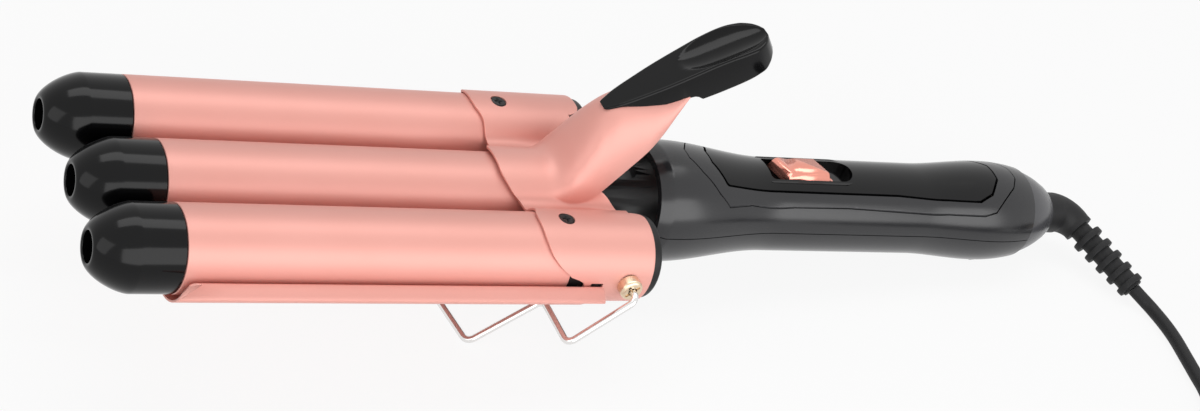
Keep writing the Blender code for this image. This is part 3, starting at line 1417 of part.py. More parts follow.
def tilt():
    """Slope of the table seen from the tool's frame: under the stand's foot and the heel."""
    foot = stand_foot()
    run = HEEL_X - foot.x
    rise = -HEEL_DROP - foot.z
    return math.atan2(rise, run) + math.asin(WIRE_RADIUS / math.hypot(run, rise))


def heel_wedge():
    """The heel under the handle, cut flat on the table's slope."""
    slope = tilt()
    drop = HEEL_LENGTH / 2 * math.tan(slope)
    half = HEEL_WIDTH / 2
    rings = []
    for x, z in ((HEEL_X - HEEL_LENGTH / 2, -HEEL_DROP - drop), (HEEL_X + HEEL_LENGTH / 2, -HEEL_DROP + drop)):
        top = z + HEEL_HEIGHT
        rings.append([Vector((x, -half, z)), Vector((x, half, z)), Vector((x, half, top)), Vector((x, -half, top))])
    return loft("heel", rings)


def make_end_cap(model):
    front = HANDLE_CAP_X + GAP
    outer = arc((HANDLE_END, END_CAP_REAR_RADIUS), (front, handle_radius(front) - END_CAP_STEP),
                END_CAP_BULGE, 4)
    cavity = SWIVEL_FLANGE_RADIUS + GAP
    seat = HANDLE_END - END_WALL
    outline = [(HANDLE_END, END_BORE)] + outer + [(front, cavity), (seat, cavity), (seat, END_BORE)]
    cap = turned("end_cap", outline, (0, HANDLE_Z), closed=True)
    model.add(cap, "end_cap", BLACK_GLOSS, model.iron)
    end = swivel_flange_x() - GAP
    ring = [(end, SWIVEL_BUSH_BORE), (end, SWIVEL_FLANGE_RADIUS), (end - SWIVEL_BUSH, SWIVEL_FLANGE_RADIUS),
            (end - SWIVEL_BUSH, SWIVEL_BUSH_BORE)]
    bush = turned("swivel_bush", ring, (0, HANDLE_Z), closed=True, steps=16)
    model.add(bush, "swivel_bush", CREAM, model.iron)


def swivel_flange_x():
    return HANDLE_END - END_WALL - GAP - SWIVEL_FLANGE


def relief_direction():
    return Vector((math.cos(RELIEF_BEND), -math.sin(RELIEF_BEND) * math.sin(RELIEF_TURN),
                   -math.sin(RELIEF_BEND) * math.cos(RELIEF_TURN)))


def relief_path():
    """Centre line and radii of the moulded strain relief, in the tool's frame."""
    start = swivel_flange_x()
    back = start + SWIVEL_FLANGE
    corner_x = HANDLE_END + RELIEF_STRAIGHT + RELIEF_BEND_RADIUS * math.tan(RELIEF_BEND / 2)
    corner = Vector((corner_x, 0, HANDLE_Z))
    way = relief_direction()
    elbow = rounded([Vector((back, 0, HANDLE_Z)), corner, corner + way * PAD_LENGTH],
                    [0, RELIEF_BEND_RADIUS, 0], 6, closed=False)[1:-1]
    path = [(Vector((start, 0, HANDLE_Z)), SWIVEL_FLANGE_RADIUS), (Vector((back, 0, HANDLE_Z)), SWIVEL_FLANGE_RADIUS),
            (Vector((back + RELIEF_STEP, 0, HANDLE_Z)), RELIEF_RADIUS)]
    for index, point in enumerate(elbow):
        path.append((point, RELIEF_RADIUS + (RELIEF_ELBOW_RADIUS - RELIEF_RADIUS) * index / len(elbow)))
    along = elbow[-1] + way * RELIEF_NECK
    path.append((along, RELIEF_ELBOW_RADIUS))
    step = way * RELIEF_STEP
    for index in range(RELIEF_RIBS):
        share = index / (RELIEF_RIBS - 1)
        rib = RELIEF_RIB_RADIUS + (RELIEF_END_RADIUS - RELIEF_RIB_RADIUS) * share
        groove = way * RELIEF_PITCH * (1 - RELIEF_RIB_SHARE)
        path += [(along + step, RELIEF_CORE_RADIUS), (along + groove - step, RELIEF_CORE_RADIUS), (along + groove, rib)]
        along = along + way * RELIEF_PITCH
        path.append((along, rib))
    return path


def make_relief(model):
    path = relief_path()
    points = [point for point, radius in path]
    radii = [radius / RELIEF_RADIUS for point, radius in path]
    piece = tube("strain_relief", points, RELIEF_RADIUS, 2, radii)
    model.add(piece, "strain_relief", BLACK_RUBBER, model.swivel)


def stand_foot():
    """Centre of the stand's foot wire in the tool's frame."""
    return Vector((HINGE_X - STAND_FOOT_REACH * math.cos(STAND_ANGLE), 0,
                   HINGE_Z - STAND_FOOT_REACH * math.sin(STAND_ANGLE)))


def stand_half_width():
    """Middle of the stand's side wires, clear of the hinge screws' heads."""
    return hinge_screw_seat() + HINGE_SCREW_HEAD + STAND_SIDE_CLEARANCE


def stand_step_reach():
    """Distance from the hinge to the step that stops under the lower plate."""
    depth = HINGE_Z + trough_radius() + SHEET / 2 + STAND_STEP_CLEARANCE + WIRE_RADIUS
    return depth / math.sin(STAND_ANGLE)


def make_stand(model):
    way = Vector((-math.cos(STAND_ANGLE), 0, -math.sin(STAND_ANGLE)))
    hinge = Vector((HINGE_X, 0, HINGE_Z))
    step = hinge + way * stand_step_reach()
    foot = stand_foot()
    tip = hinge_screw_seat() - STAND_TIP_DEPTH
    half = [hinge + Vector((0, tip, 0)), hinge + Vector((0, stand_half_width(), 0)),
            step + Vector((0, stand_half_width(), 0)), step + Vector((0, STAND_STEP_HALF_WIDTH, 0)),
            foot + Vector((0, STAND_FOOT_HALF_WIDTH, 0))]
    slope = tilt()
    bow = foot - Vector((math.cos(slope), 0, math.sin(slope))) * STAND_FOOT_BOW
    corners = [Vector((point.x, -point.y, point.z)) for point in half] + [bow] + list(reversed(half))
    bends = [0, STAND_BEND, STAND_BEND, STAND_BEND, STAND_FOOT_BEND]
    path = rounded(corners, bends + [STAND_BOW_BEND] + list(reversed(bends)), 4, closed=False)
    model.add(tube("wire_stand", path, WIRE_RADIUS, 2), "wire_stand", CHROME, model.stand)


def smooth_path(points, count):
    """Evenly spaced points on a smooth curve through the given ones."""
    places = [Vector(point) for point in points]
    padded = [places[0] * 2 - places[1]] + places + [places[-1] * 2 - places[-2]]
    fine = []
    for index in range(len(places) - 1):
        a, b, c, d = padded[index:index + 4]
        for step in range(12):
            t = step / 12
            fine.append(0.5 * ((2 * b) + (c - a) * t + (2 * a - 5 * b + 4 * c - d) * t * t
                               + (3 * b - a - 3 * c + d) * t ** 3))
    fine.append(places[-1])
    runs = np.concatenate([[0], np.cumsum([(q - p).length for p, q in zip(fine, fine[1:])])])
    wanted = np.linspace(0, runs[-1], count)
    axes = [np.interp(wanted, runs, [point[axis] for point in fine]) for axis in range(3)]
    return [Vector(place) for place in zip(*axes)]


def coil_pitch():
    return 2 * CORD_RADIUS + COIL_SPACE


def coil_floor():
    """Height of the lowest turns' centre line, which lie on the tie's band."""
    return TIE_THICKNESS + GAP + CORD_RADIUS


def coil_points():
    """The coil's centre line: in by a steady spiral, up a layer, and out again."""
    half_turns = COIL_TURNS / 2
    outer = COIL_MIDDLE_RADIUS + coil_pitch() * half_turns / 2
    points = []
    count = round(COIL_TURNS * COIL_LOOP_POINTS)
    for index in range(count + 1):
        turns = index / COIL_LOOP_POINTS
        inwards = min(turns, COIL_TURNS - turns)
        radius = outer - coil_pitch() * inwards
        climb = smoothstep(turns, half_turns - 0.25, half_turns + 0.25)
        angle = math.pi + 2 * math.pi * turns
        points.append(Vector((COIL_CENTRE_X + radius * math.cos(angle), COIL_CENTRE_Y + radius * math.sin(angle),
                              coil_floor() + coil_pitch() * climb)))
    return points


def make_cord(model):
    relief_end, way = relief_end_in_world(model)
    gap_end = relief_end + way * GAP
    coil = coil_points()
    lead_in = Vector((0, 1, 0)) * 2 * CORD_RADIUS
    tail = Vector((0, TAIL_LENGTH, 0))
    coil = [coil[0] + lead_in] + coil + [coil[-1] + lead_in, coil[-1] + tail]
    report_gap("cord_coil", coil, CORD_RADIUS)
    route = [gap_end, gap_end + way * 2 * CORD_RADIUS, gap_end + way * 4 * CORD_RADIUS] + list(CORD_ROUTE)
    route += [coil[0] + lead_in, coil[0] + Vector((0, GAP, 0))]
    lead = smooth_path(route, CORD_POINTS)
    print(f"cord_lead: length {sum((q - p).length for p, q in zip(lead, lead[1:])):.4f} m")
    place_free(model, tube("cord_lead", lead, CORD_RADIUS, 1), "cord_lead", BLACK_RUBBER)
    place_free(model, tube("cord_coil", coil, CORD_RADIUS, 1), "cord_coil", BLACK_RUBBER)
    make_plug(model, coil[-1] + Vector((0, GAP, 0)))
    make_tie(model)


def place_free(model, piece, name, finish):
    """Hangs a piece that lies on the table on the swivel, where it already is."""
    model.add(piece, name, finish)
    piece.parent = model.swivel
    piece.matrix_parent_inverse = model.swivel.matrix_world.inverted()


def relief_end_in_world(model):
    end = relief_path()[-1][0]
    frame = model.iron.matrix_world
    return frame @ end, (frame.to_3x3() @ relief_direction()).normalized()


def make_plug(model, start):
    """A plain two-pin plug lying on its flat side at the cord's far end."""
    rings = []
    for share, size in ((0, PLUG_NOSE_SHARE), (0.35, 0.8), (0.6, 1), (1, 1)):
        half_width = PLUG_HALF_WIDTH * size
        half_height = start.z * size
        corners = [(-half_width, -half_height), (half_width, -half_height), (half_width, half_height),
                   (-half_width, half_height)]
        outline = rounded([Vector(corner) for corner in corners], [PLUG_EDGE * size] * 4, 2)
        rings.append([Vector((start.x + point.x, start.y + PLUG_LENGTH * share, start.z + point.y))
                      for point in outline])
    place_free(model, loft("plug_body", rings), "plug_body", BLACK_RUBBER)
    front = start.y + PLUG_LENGTH + GAP
    for side, word in ((-1, "inner"), (1, "outer")):
        x = start.x + side * PIN_SPACING / 2
        pin = block("pin", (x - PIN_THICKNESS / 2, front, start.z - PIN_HALF_WIDTH),
                    (x + PIN_THICKNESS / 2, front + PIN_LENGTH, start.z + PIN_HALF_WIDTH))
        place_free(model, pin, word + "_plug_pin", BRASS_PALE)


def make_tie(model):
    """A band round the bundle of turns, closed on itself."""
    half_turns = COIL_TURNS / 2
    outer = COIL_MIDDLE_RADIUS + coil_pitch() * half_turns / 2 + CORD_RADIUS + GAP
    inner = COIL_MIDDLE_RADIUS - coil_pitch() * half_turns / 2 - CORD_RADIUS - GAP
    low = TIE_THICKNESS
    high = coil_floor() + coil_pitch() + CORD_RADIUS + GAP
    x_low = COIL_CENTRE_X + inner
    x_high = COIL_CENTRE_X + outer
    half = TIE_WIDTH / 2
    wall = TIE_THICKNESS
    band = block("cord_tie", (x_low - wall, COIL_CENTRE_Y - half, 0), (x_high + wall, COIL_CENTRE_Y + half, high + wall))
    hole = block("hole", (x_low, COIL_CENTRE_Y - half - OVERRUN, low), (x_high, COIL_CENTRE_Y + half + OVERRUN, high))
    place_free(model, cut(band, [hole]), "cord_tie", BLACK_RUBBER)


def stand_on_table(model):
    """Tilts the tool onto its stand and heel and centres its box over the origin."""
    slope = tilt()
    model.iron.rotation_euler = (0, slope, 0)
    bpy.context.view_layer.update()
    heel = model.iron.matrix_world @ Vector((HEEL_X, 0, -HEEL_DROP))
    corners = []
    for piece in model.parts.objects:
        if piece.type == "MESH" and piece.name != "strain_relief":
            corners += [piece.matrix_world @ vertex.co for vertex in piece.data.vertices]
    low = min(corner.x for corner in corners)
    high = max(corner.x for corner in corners)
    model.iron.location = (-(low + high) / 2, 0, -heel.z)
    bpy.context.view_layer.update()


def main():
    model = Model()
    make_barrels(model)
    make_carriers(model)
    make_bridge(model)
    make_pad(model)
    make_lower_plate(model)
    make_housing(model)
    make_hinge(model)
    make_spring(model)
    make_shells(model)
    make_switch(model)
    make_board(model)
    make_end_cap(model)
    make_relief(model)
    make_stand(model)
    stand_on_table(model)
    make_cord(model)


main()
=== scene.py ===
"""Looks of a three-barrel hair waver: satin rose barrels and plates, gloss black handle.

Pieces are shaped in the tool's own frame, where X runs from the barrels' noses to the handle,
and are then laid in the table's frame, in which the tool leans on its wire stand and heel.
"""
import json
import math

import bmesh
import bpy
from mathutils import Matrix, Vector


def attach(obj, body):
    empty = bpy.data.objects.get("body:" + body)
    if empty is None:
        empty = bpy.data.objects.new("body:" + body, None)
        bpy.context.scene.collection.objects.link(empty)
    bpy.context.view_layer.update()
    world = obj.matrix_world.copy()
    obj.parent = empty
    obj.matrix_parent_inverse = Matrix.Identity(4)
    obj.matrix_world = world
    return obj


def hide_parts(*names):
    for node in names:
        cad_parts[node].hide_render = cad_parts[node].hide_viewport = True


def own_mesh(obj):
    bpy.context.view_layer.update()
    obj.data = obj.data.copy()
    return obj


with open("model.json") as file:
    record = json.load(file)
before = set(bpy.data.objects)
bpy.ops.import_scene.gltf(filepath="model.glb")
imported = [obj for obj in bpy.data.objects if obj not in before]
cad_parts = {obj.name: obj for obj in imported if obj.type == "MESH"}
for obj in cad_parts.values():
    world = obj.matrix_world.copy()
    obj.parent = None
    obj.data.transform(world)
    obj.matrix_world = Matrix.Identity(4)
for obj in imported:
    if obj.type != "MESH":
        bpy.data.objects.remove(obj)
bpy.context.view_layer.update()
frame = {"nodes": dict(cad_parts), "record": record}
NODES = frame["nodes"]

# The tool's frame on the table
IRON_TILT = math.radians(5.166770449)
IRON_PLACE = (-0.17234, 0.0, 0.04753)
IRON = Matrix.Translation(IRON_PLACE) @ Matrix.Rotation(IRON_TILT, 4, "Y")

# Camera, in the tool's frame
CAMERA_PLACE = (-0.208376, -0.503942, 0.396651)
CAMERA_RIGHT = (0.8607, -0.3797, 0.3392)
CAMERA_AHEAD = (0.5085, 0.6740, -0.5358)
CAMERA_LENS = 72.548
CAMERA_SENSOR = 36.0

# Faces round a turned piece
BARREL_STEPS = 128
CAP_STEPS = 112
CAP_DOME_STEPS = 26
CARRIER_STEPS = 96
HANDLE_STEPS = 160
SCREW_STEPS = 56
HOLE_STEPS = 32

# Sheets and barrels, in the tool's frame
GAP = 0.0003
CARRIER_FRONT = 0.1340
CARRIER_REAR = 0.1722
CARRIER_ROUNDING = 0.0014
MERGE = 0.000001
OVERRUN = 0.0030
HINGE_X = 0.1611
HINGE_Z = 0.0003
HINGE_HOLE = 0.0033
CARRIER_SCREW_X = 0.1413
CARRIER_SCREW_IN = 0.0005
CARRIER_HOLE = 0.0026
BARREL_RADIUS = 0.0125
BARREL_WALL = 0.0012
BARREL_PITCH = 0.02878
BARREL_END = 0.1412
MIDDLE_SETBACK = 0.0024
MIDDLE_DROP = 0.0005
MIDDLE_END = 0.1500
CAP_LENGTH = 0.0235
CAP_DOME_LENGTH = 0.0115
CAP_DOME_POWER = 1.4
CAP_NOSE_RADIUS = 0.0053
CAP_HOLE_RADIUS = 0.0044
CAP_HOLE_DEPTH = 0.0100
CAP_RIM_BEVEL = 0.0004
CAP_SPIGOT_LENGTH = 0.0070
EDGE_ROUND = 0.00016
SHEET = 0.0007
MIDDLE_CLEARANCE = 0.0011
VALLEY_RADIUS = 0.0045
LOWER_VALLEY_RADIUS = 0.0030
CROWN_X = 0.1318
MIDDLE_X = 0.1285
SWEEP = 0.0197
OUTSIDE_SHARES = ((0, 0), (0.25, 0.015), (0.53, 0.10), (0.75, 0.29), (0.84, 0.42), (0.89, 0.49),
                  (0.935, 0.64), (0.98, 0.72), (1.03, 0.74))
INSIDE_SHARES = ((0, 0), (0.14, 0.02), (0.27, 0.08), (0.39, 0.12), (0.57, 0.135), (0.75, 0.16))
MIDDLE_SHARES = ((0, 0), (0.25, 0.02), (0.49, 0.14), (0.65, 0.27), (0.77, 0.37))
SKIRT_ANGLE = math.radians(140)
CUT_X = 0.1605
CUT_DIP = 0.0055
CUT_ANGLE = math.radians(21)
REAR_CORNER = 0.0034
PLATE_REAR = 0.1686
SLOT_LOW = (0.1486, 0.0382, -0.0020)
SLOT_HIGH = (0.1526, 0.0443, 0.0004)
FINE = 4
MIDDLE_COLUMNS = 7
VALLEY_COLUMNS = 4
OUTER_COLUMNS = 12
PLATE_ROWS = 56
NECK_ROWS = 44
REAR_ROWS = 12

# Lever neck: crown line, edge line and half width along its reach
NECK_BASE_X = 0.1430
NECK_TIP_X = 0.1840
NECK_TIP_HEIGHT = 0.0472
NECK_HALF_WIDTH = 0.0125
NECK_FULLNESS = 1.0
CROWN_SHARES = ((0, 0), (0.037, 0.005), (0.073, 0.02), (0.122, 0.065), (0.171, 0.145), (0.22, 0.26),
                (0.28, 0.42), (0.354, 0.575), (0.463, 0.705), (0.651, 0.80), (0.78, 0.86),
                (0.92, 0.95), (1.0, 1.0))
EDGE_SHARES = ((0, 0.14), (0.25, 0.145), (0.36, 0.18), (0.427, 0.24), (0.512, 0.34), (0.598, 0.435),
               (0.695, 0.55), (0.78, 0.67), (0.859, 0.82), (0.927, 0.925), (1.0, 0.975))
WIDTH_SHARES = ((0, 0.98), (0.25, 1.02), (0.41, 1.0), (0.51, 0.975), (0.60, 0.935), (0.695, 0.895),
                (0.78, 0.80), (0.859, 0.68), (0.927, 0.56), (1.0, 0.42))

# Thumb pad
PAD_FRONT_X = 0.1572
PAD_FRONT_RISE = 0.0020
PAD_TIP_RISE = 0.0079
PAD_LENGTH = 0.0545
PAD_HALF_WIDTH = 0.0079
PAD_DEPTH = 0.0112
PAD_FRONT_DEPTH = 0.0038
PAD_FLARE = 0.0006
PAD_EDGE = 0.0009
PAD_DROOP = 0.0036
DROOP_SHARES = ((0, 0), (0.62, 0), (0.72, 0.08), (0.82, 0.30), (0.91, 0.64), (1.0, 1.0))
PAD_WIDTH_SHARES = ((0, 0.20), (0.012, 0.28), (0.04, 0.36), (0.10, 0.50), (0.22, 0.65), (0.36, 0.79),
                    (0.50, 0.88), (0.66, 0.96), (0.80, 1.0), (0.89, 0.93), (0.95, 0.72), (0.985, 0.45),
                    (1.0, 0.22))
PAD_DEPTH_SHARES = ((0, 0), (0.10, 0.15), (0.30, 0.36), (0.49, 0.60), (0.52, 0.88), (0.90, 1.0),
                    (1.0, 0.75))
DISH_AT = 0.74
DISH_LENGTH = 0.0140
DISH_WIDTH = 0.0070
DISH_DEPTH = 0.0024
PAD_ROWS = 90
PAD_COLUMNS = 28

# Lower plate
TROUGH_CLEARANCE = 0.0015
LIP_HALF_WIDTH = 0.0496
LIP_DROOP = 0.0007
LIP_BEND_RADIUS = 0.0010
LOWER_FRONT = 0.0240
LIP_FRONT = 0.0200
LIP_NOTCH = 0.0280
LIP_REAR_SLANT = 0.0016
LIP_COLUMNS = 4
LOWER_REAR = 0.1505
TONGUE_REAR = 0.1780
TONGUE_COLUMNS = 5

# Handle, turned about its own axis, with the outlines of its cover and inlay in plan
HANDLE_WALL = 0.0022
HANDLE_FRONT = 0.1822
HANDLE_LIP_RADIUS = 0.0176
HANDLE_RING_X = 0.1858
HANDLE_BELL_RADIUS = 0.0191
HANDLE_BELL_X = 0.1900
HANDLE_WAIST_X = 0.2300
HANDLE_WAIST_RADIUS = 0.0150
HANDLE_SWELL_X = 0.2880
HANDLE_HEEL_X = 0.3180
HANDLE_HEEL_RADIUS = 0.01675
HANDLE_DOME_LENGTH = 0.0353
HANDLE_CAP_X = 0.3319
END_CAP_STEP = 0.0006
END_CAP_REAR_RADIUS = 0.0085
END_CAP_BULGE = math.radians(12)
END_BORE = 0.0073
HEEL_X = 0.3265
HEEL_DROP = 0.0182
HEEL_LENGTH = 0.0105
HEEL_WIDTH = 0.0120
HEEL_HEIGHT = 0.0060
HEEL_ROUND = 0.0008
PARTING = 0.0003
COVER_FRONT = 0.1945
COVER_REAR = 0.3255
COVER_HALF_WIDTH = 0.0130
COVER_CORNER = 0.0050
COVER_LEDGE = 0.0060
COVER_SHARES = ((0, 0.16), (0.025, 0.55), (0.067, 0.95), (0.10, 1.12), (0.17, 1.0), (0.30, 0.95),
                (0.46, 0.94), (0.77, 1.0), (0.88, 1.08), (0.915, 1.04), (0.98, 0.52), (1.0, 0.20))
INLAY_FRONT = 0.2030
INLAY_REAR = 0.3170
INLAY_HALF_WIDTH = 0.0091
INLAY_CORNER = 0.0015
INLAY_GROOVE = 0.0006
INLAY_SHARES = ((0, 0.30), (0.034, 1.08), (0.22, 0.98), (0.63, 0.99), (0.81, 1.09), (0.92, 1.20),
                (0.965, 1.0), (1.0, 0.40))
CORNER_ANGLE = math.radians(140)
RECESS_FRONT = 0.2262
RECESS_REAR = 0.2590
RECESS_HALF_WIDTH = 0.0052
RECESS_DEPTH = 0.0030
RECESS_CORNER = 0.0015
RECESS_FLOOR = 0.0014

# Wire stand
WIRE_RADIUS = 0.0011
STAND_HALF_WIDTH = 0.04935
STAND_STEP_HALF_WIDTH = 0.0300
STAND_FOOT_HALF_WIDTH = 0.0280
STAND_ANGLE = math.radians(45)
STAND_FOOT_REACH = 0.0503
STAND_FOOT_BOW = 0.0038
STAND_STEP_CLEARANCE = 0.0010
STAND_BEND = 0.0026
STAND_FOOT_BEND = 0.0030
STAND_BOW_BEND = 0.0300
STAND_TIP_DEPTH = 0.0060

# Hinge and carrier screws
SCREW_SEAT = 0.04233
HINGE_SCREW_RADIUS = 0.0035
HINGE_SCREW_HEAD = 0.0034
HINGE_SCREW_SHANK = 0.0080
HINGE_SCREW_EDGE = 0.0011
HINGE_BORE = 0.0025
HINGE_CROSS_WIDTH = 0.0009
HINGE_CROSS_LENGTH = 0.0050
HINGE_CROSS_DEPTH = 0.0007

# Handle end, strain relief and cord
HANDLE_Z = -0.0012
HANDLE_END = 0.3459
END_WALL = 0.0026
SWIVEL_FLANGE = 0.0030
SWIVEL_FLANGE_RADIUS = 0.0100
RELIEF_RADIUS = 0.00695
RELIEF_STRAIGHT = 0.0063
RELIEF_BEND = math.radians(65)
RELIEF_BEND_RADIUS = 0.0095
RELIEF_TURN = math.radians(76)
RELIEF_ELBOW_RADIUS = 0.0054
RELIEF_NECK = 0.0030
RELIEF_RIBS = 5
RELIEF_PITCH = 0.00526
RELIEF_CORE = 0.0036
SHOULDER_SHARE = 0.55
FIRST_RIB_SHARE = 0.62
RIB_THICKNESS = 0.0024
RIB_RADIUS = 0.0055
RIB_LAST_RADIUS = 0.0048
RIB_ROUND = 0.0004
CORD_RADIUS = 0.0023
CORD_ROUTE = ((0.2027, -0.0470, 0.0024), (0.2023, -0.0540, 0.0023), (0.2008, -0.0625, 0.0023),
              (0.1992, -0.0710, 0.0023), (0.1974, -0.0800, 0.0023), (0.1938, -0.0895, 0.0023),
              (0.1880, -0.0985, 0.0023), (0.1807, -0.1065, 0.0024), (0.1735, -0.1145, 0.0027),
              (0.1678, -0.1235, 0.0030), (0.1644, -0.1325, 0.0033))
COIL_CENTRE = (0.2005, -0.1430)
COIL_MIDDLE_RADIUS = 0.0275
COIL_TURNS = 7.5
COIL_LOOP_POINTS = 72
COIL_SPACE = 0.0006
TIE_THICKNESS = 0.0008
TAIL_LENGTH = 0.0480

# Studio
FLOOR_GLOW = 0.9
FLOOR_SIZE = 30
FLOOR_DROP = 0.0002
FLOOR_PAINT = (0.86, 0.86, 0.86)
WORLD_LIGHT = (0.26, 0.26, 0.265)


class Term:
    """A socket that can stand in a sum, which adds its own maths nodes."""

    def __init__(self, finish, socket):
        self.finish = finish
        self.socket = socket

    def join(self, operation, other, swapped=False):
        pair = (other, self) if swapped else (self, other)
        return self.finish.node("Math", {"operation": operation}, {0: pair[0], 1: pair[1]})

    def __add__(self, other):
        return self.join("ADD", other)

    def __mul__(self, other):
        return self.join("MULTIPLY", other)

    def __radd__(self, other):
        return self.join("ADD", other, True)


class Finish:
    """A material: one principled surface and the expressions that feed it."""

    def __init__(self, name, colour, roughness, metallic=0.0):
        self.material = bpy.data.materials.new(name)
        self.material.use_nodes = True
        self.tree = self.material.node_tree
        self.surface = self.tree.nodes["Principled BSDF"]
        self.feed("Base Color", (*colour, 1))
        self.feed("Roughness", roughness)
        self.feed("Metallic", metallic)

    def node(self, kind, settings, values, out=0):
        """Adds a node; its settings are made first, then its sockets get values or links."""
        made = self.tree.nodes.new("ShaderNode" + kind)
        for setting, value in settings.items():
            if setting == "stops":
                self.set_stops(made.color_ramp, value)
            else:
                setattr(made, setting, value)
        for socket, value in values.items():
            self.plug(made.inputs[socket], value)
        return Term(self, made.outputs[out])

    def set_stops(self, ramp, stops):
        while len(ramp.elements) < len(stops):
            ramp.elements.new(1)
        for element, (place, value) in zip(ramp.elements, stops):
            element.position = place
            element.color = (value, value, value, 1)

    def plug(self, socket, value):
        if isinstance(value, Term):
            self.tree.links.new(value.socket, socket)
        else:
            socket.default_value = value

    def feed(self, socket, value):
        self.plug(self.surface.inputs[socket], value)

    def place(self):
        return self.node("TexCoord", {}, {}, "Object")

    def noise(self, scale, detail, stretch=(1, 1, 1)):
        """Noise on object coordinates, from zero to one."""
        spot = self.node("Mapping", {}, {"Vector": self.place(), "Scale": stretch})
        return self.node("TexNoise", {}, {"Vector": spot, "Scale": scale, "Detail": detail})

    def ramp(self, value, stops):
        return self.node("ValToRGB", {"stops": stops}, {"Fac": value})

    def blend(self, factor, first, second):
        """A colour between two, by a factor."""
        settings = {"data_type": "RGBA"}
        return self.node("Mix", settings, {0: factor, 6: first, 7: second}, 2)

    def bump(self, height, depth, strength):
        normal = self.node("Bump", {}, {"Strength": strength, "Distance": depth, "Height": height})
        self.feed("Normal", normal)


def rgb(red, green, blue):
    """A colour from the screen's 0 to 255, as the linear values that a shader takes."""
    shares = [value / 255 for value in (red, green, blue)]
    return tuple(s / 12.92 if s < 0.04045 else ((s + 0.055) / 1.055) ** 2.4 for s in shares)


def rose_coating():
    finish = Finish("rose_coating", rgb(233, 167, 155), 0.44, 0.22)
    grain = finish.noise(2600, 2)
    cloud = finish.noise(38, 3)
    light = (*rgb(236, 171, 160), 1)
    deep = (*rgb(229, 162, 149), 1)
    finish.feed("Base Color", finish.blend(cloud * 0.7 + grain * 0.3, deep, light))
    finish.feed("Roughness", 0.40 + grain * 0.08)
    finish.bump(grain, 0.00001, 0.25)
    return finish.material


def gloss_black(name, colour, roughness, sheen):
    finish = Finish(name, colour, roughness, 0)
    finish.feed("Specular IOR Level", sheen)
    haze = finish.noise(220, 3)
    finish.feed("Roughness", roughness - 0.03 + haze * 0.06)
    finish.bump(finish.noise(900, 2), 0.000004, 0.3)
    return finish.material


def satin_black(name, roughness=0.42):
    finish = Finish(name, rgb(18, 18, 19), roughness, 0)
    finish.feed("Specular IOR Level", SATIN_SHEEN)
    grain = finish.noise(1800, 2)
    finish.feed("Roughness", roughness - 0.06 + grain * 0.12)
    finish.bump(grain, 0.00003, 0.4)
    return finish.material


def rubber(name):
    finish = Finish(name, rgb(22, 22, 23), 0.55, 0)
    finish.feed("Specular IOR Level", SATIN_SHEEN)
    grain = finish.noise(1500, 3)
    finish.feed("Roughness", 0.48 + grain * 0.16)
    finish.bump(grain, 0.00004, 0.35)
    return finish.material


def bright_metal(name, colour, roughness):
    finish = Finish(name, colour, roughness, 1)
    streak = finish.noise(700, 3, (0.15, 1, 1))
    finish.feed("Roughness", roughness * 0.7 + streak * roughness * 0.6)
    finish.bump(streak, 0.000004, 0.3)
    return finish.material


def moulded(name, colour, roughness):
    finish = Finish(name, colour, roughness, 0)
    grain = finish.noise(1200, 3)
    shade = tuple(value * 0.86 for value in colour)
    finish.feed("Base Color", finish.blend(grain, (*shade, 1), (*colour, 1)))
    finish.feed("Roughness", roughness - 0.05 + grain * 0.1)
    finish.bump(grain, 0.00002, 0.3)
    return finish.material


def rose_gloss():
    finish = Finish("rose_button", rgb(238, 158, 140), 0.16, 0.75)
    grain = finish.noise(1600, 2)
    finish.feed("Roughness", 0.12 + grain * 0.08)
    finish.bump(grain, 0.000006, 0.3)
    return finish.material


def circuit_board():
    finish = Finish("board", rgb(22, 92, 52), 0.4, 0)
    tracks = finish.noise(420, 1, (0.2, 1, 1))
    lines = finish.ramp(tracks, ((0.48, 0), (0.52, 1)))
    finish.feed("Base Color", finish.blend(lines, (*rgb(18, 84, 46), 1), (*rgb(34, 116, 66), 1)))
    finish.feed("Roughness", 0.32 + lines * 0.16)
    return finish.material


SATIN_SHEEN = 0.3
ROSE = rose_coating()
GLOSS = gloss_black("black_gloss", rgb(6, 6, 7), 0.13, 0.22)
SATIN = satin_black("black_satin")
# Handle shells and cover: dark grey gloss, lighter than the caps' black partly as painted sheen for the
# near side's reflection
HANDLE_GREY_WITH_PAINTED_SHEEN = gloss_black("handle_gloss_painted_sheen", rgb(38, 38, 40), 0.2, 0.5)
INLAY = gloss_black("inlay_gloss", rgb(8, 8, 9), 0.12, 0.3)
# End cap: gloss black like the handle, painted mid grey as a painted reflection
END_CAP_PAINTED_REFLECTION = gloss_black("end_cap_painted_reflection", rgb(70, 70, 73), 0.24, 0.5)
RUBBER = rubber("black_rubber")
BUTTON = rose_gloss()
CHROME = bright_metal("chrome_wire", (0.80, 0.79, 0.78), 0.10)
STEEL = bright_metal("steel", (0.56, 0.56, 0.57), 0.28)
BRASS = bright_metal("pale_brass", rgb(226, 204, 176), 0.30)
CREAM = moulded("cream_plastic", rgb(236, 222, 200), 0.45)
HEATER = bright_metal("heater_aluminium", (0.72, 0.72, 0.73), 0.38)
BOARD = circuit_board()

SLOTS = {"rose_coating": ROSE, "black_gloss": GLOSS, "black_satin": SATIN, "black_rubber": RUBBER,
         "rose_button": BUTTON, "chrome_wire": CHROME, "steel": STEEL, "pale_brass": BRASS,
         "cream_plastic": CREAM, "heater_aluminium": HEATER, "board": BOARD}


def dress_nodes():
    """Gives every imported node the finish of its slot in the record."""
    for entry in frame["record"]["subparts"]:
        piece = NODES[entry["node"]]
        piece.data.materials.clear()
        piece.data.materials.append(SLOTS[entry["material_slot"]])


def put(piece, material, body, slot, *replaced):
    """Gives a finished piece its material and its body, and hides the nodes that it stands for."""
    piece.data.materials.clear()
    piece.data.materials.append(material)
    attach(piece, body)
    if replaced:
        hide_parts(*replaced)
    return piece


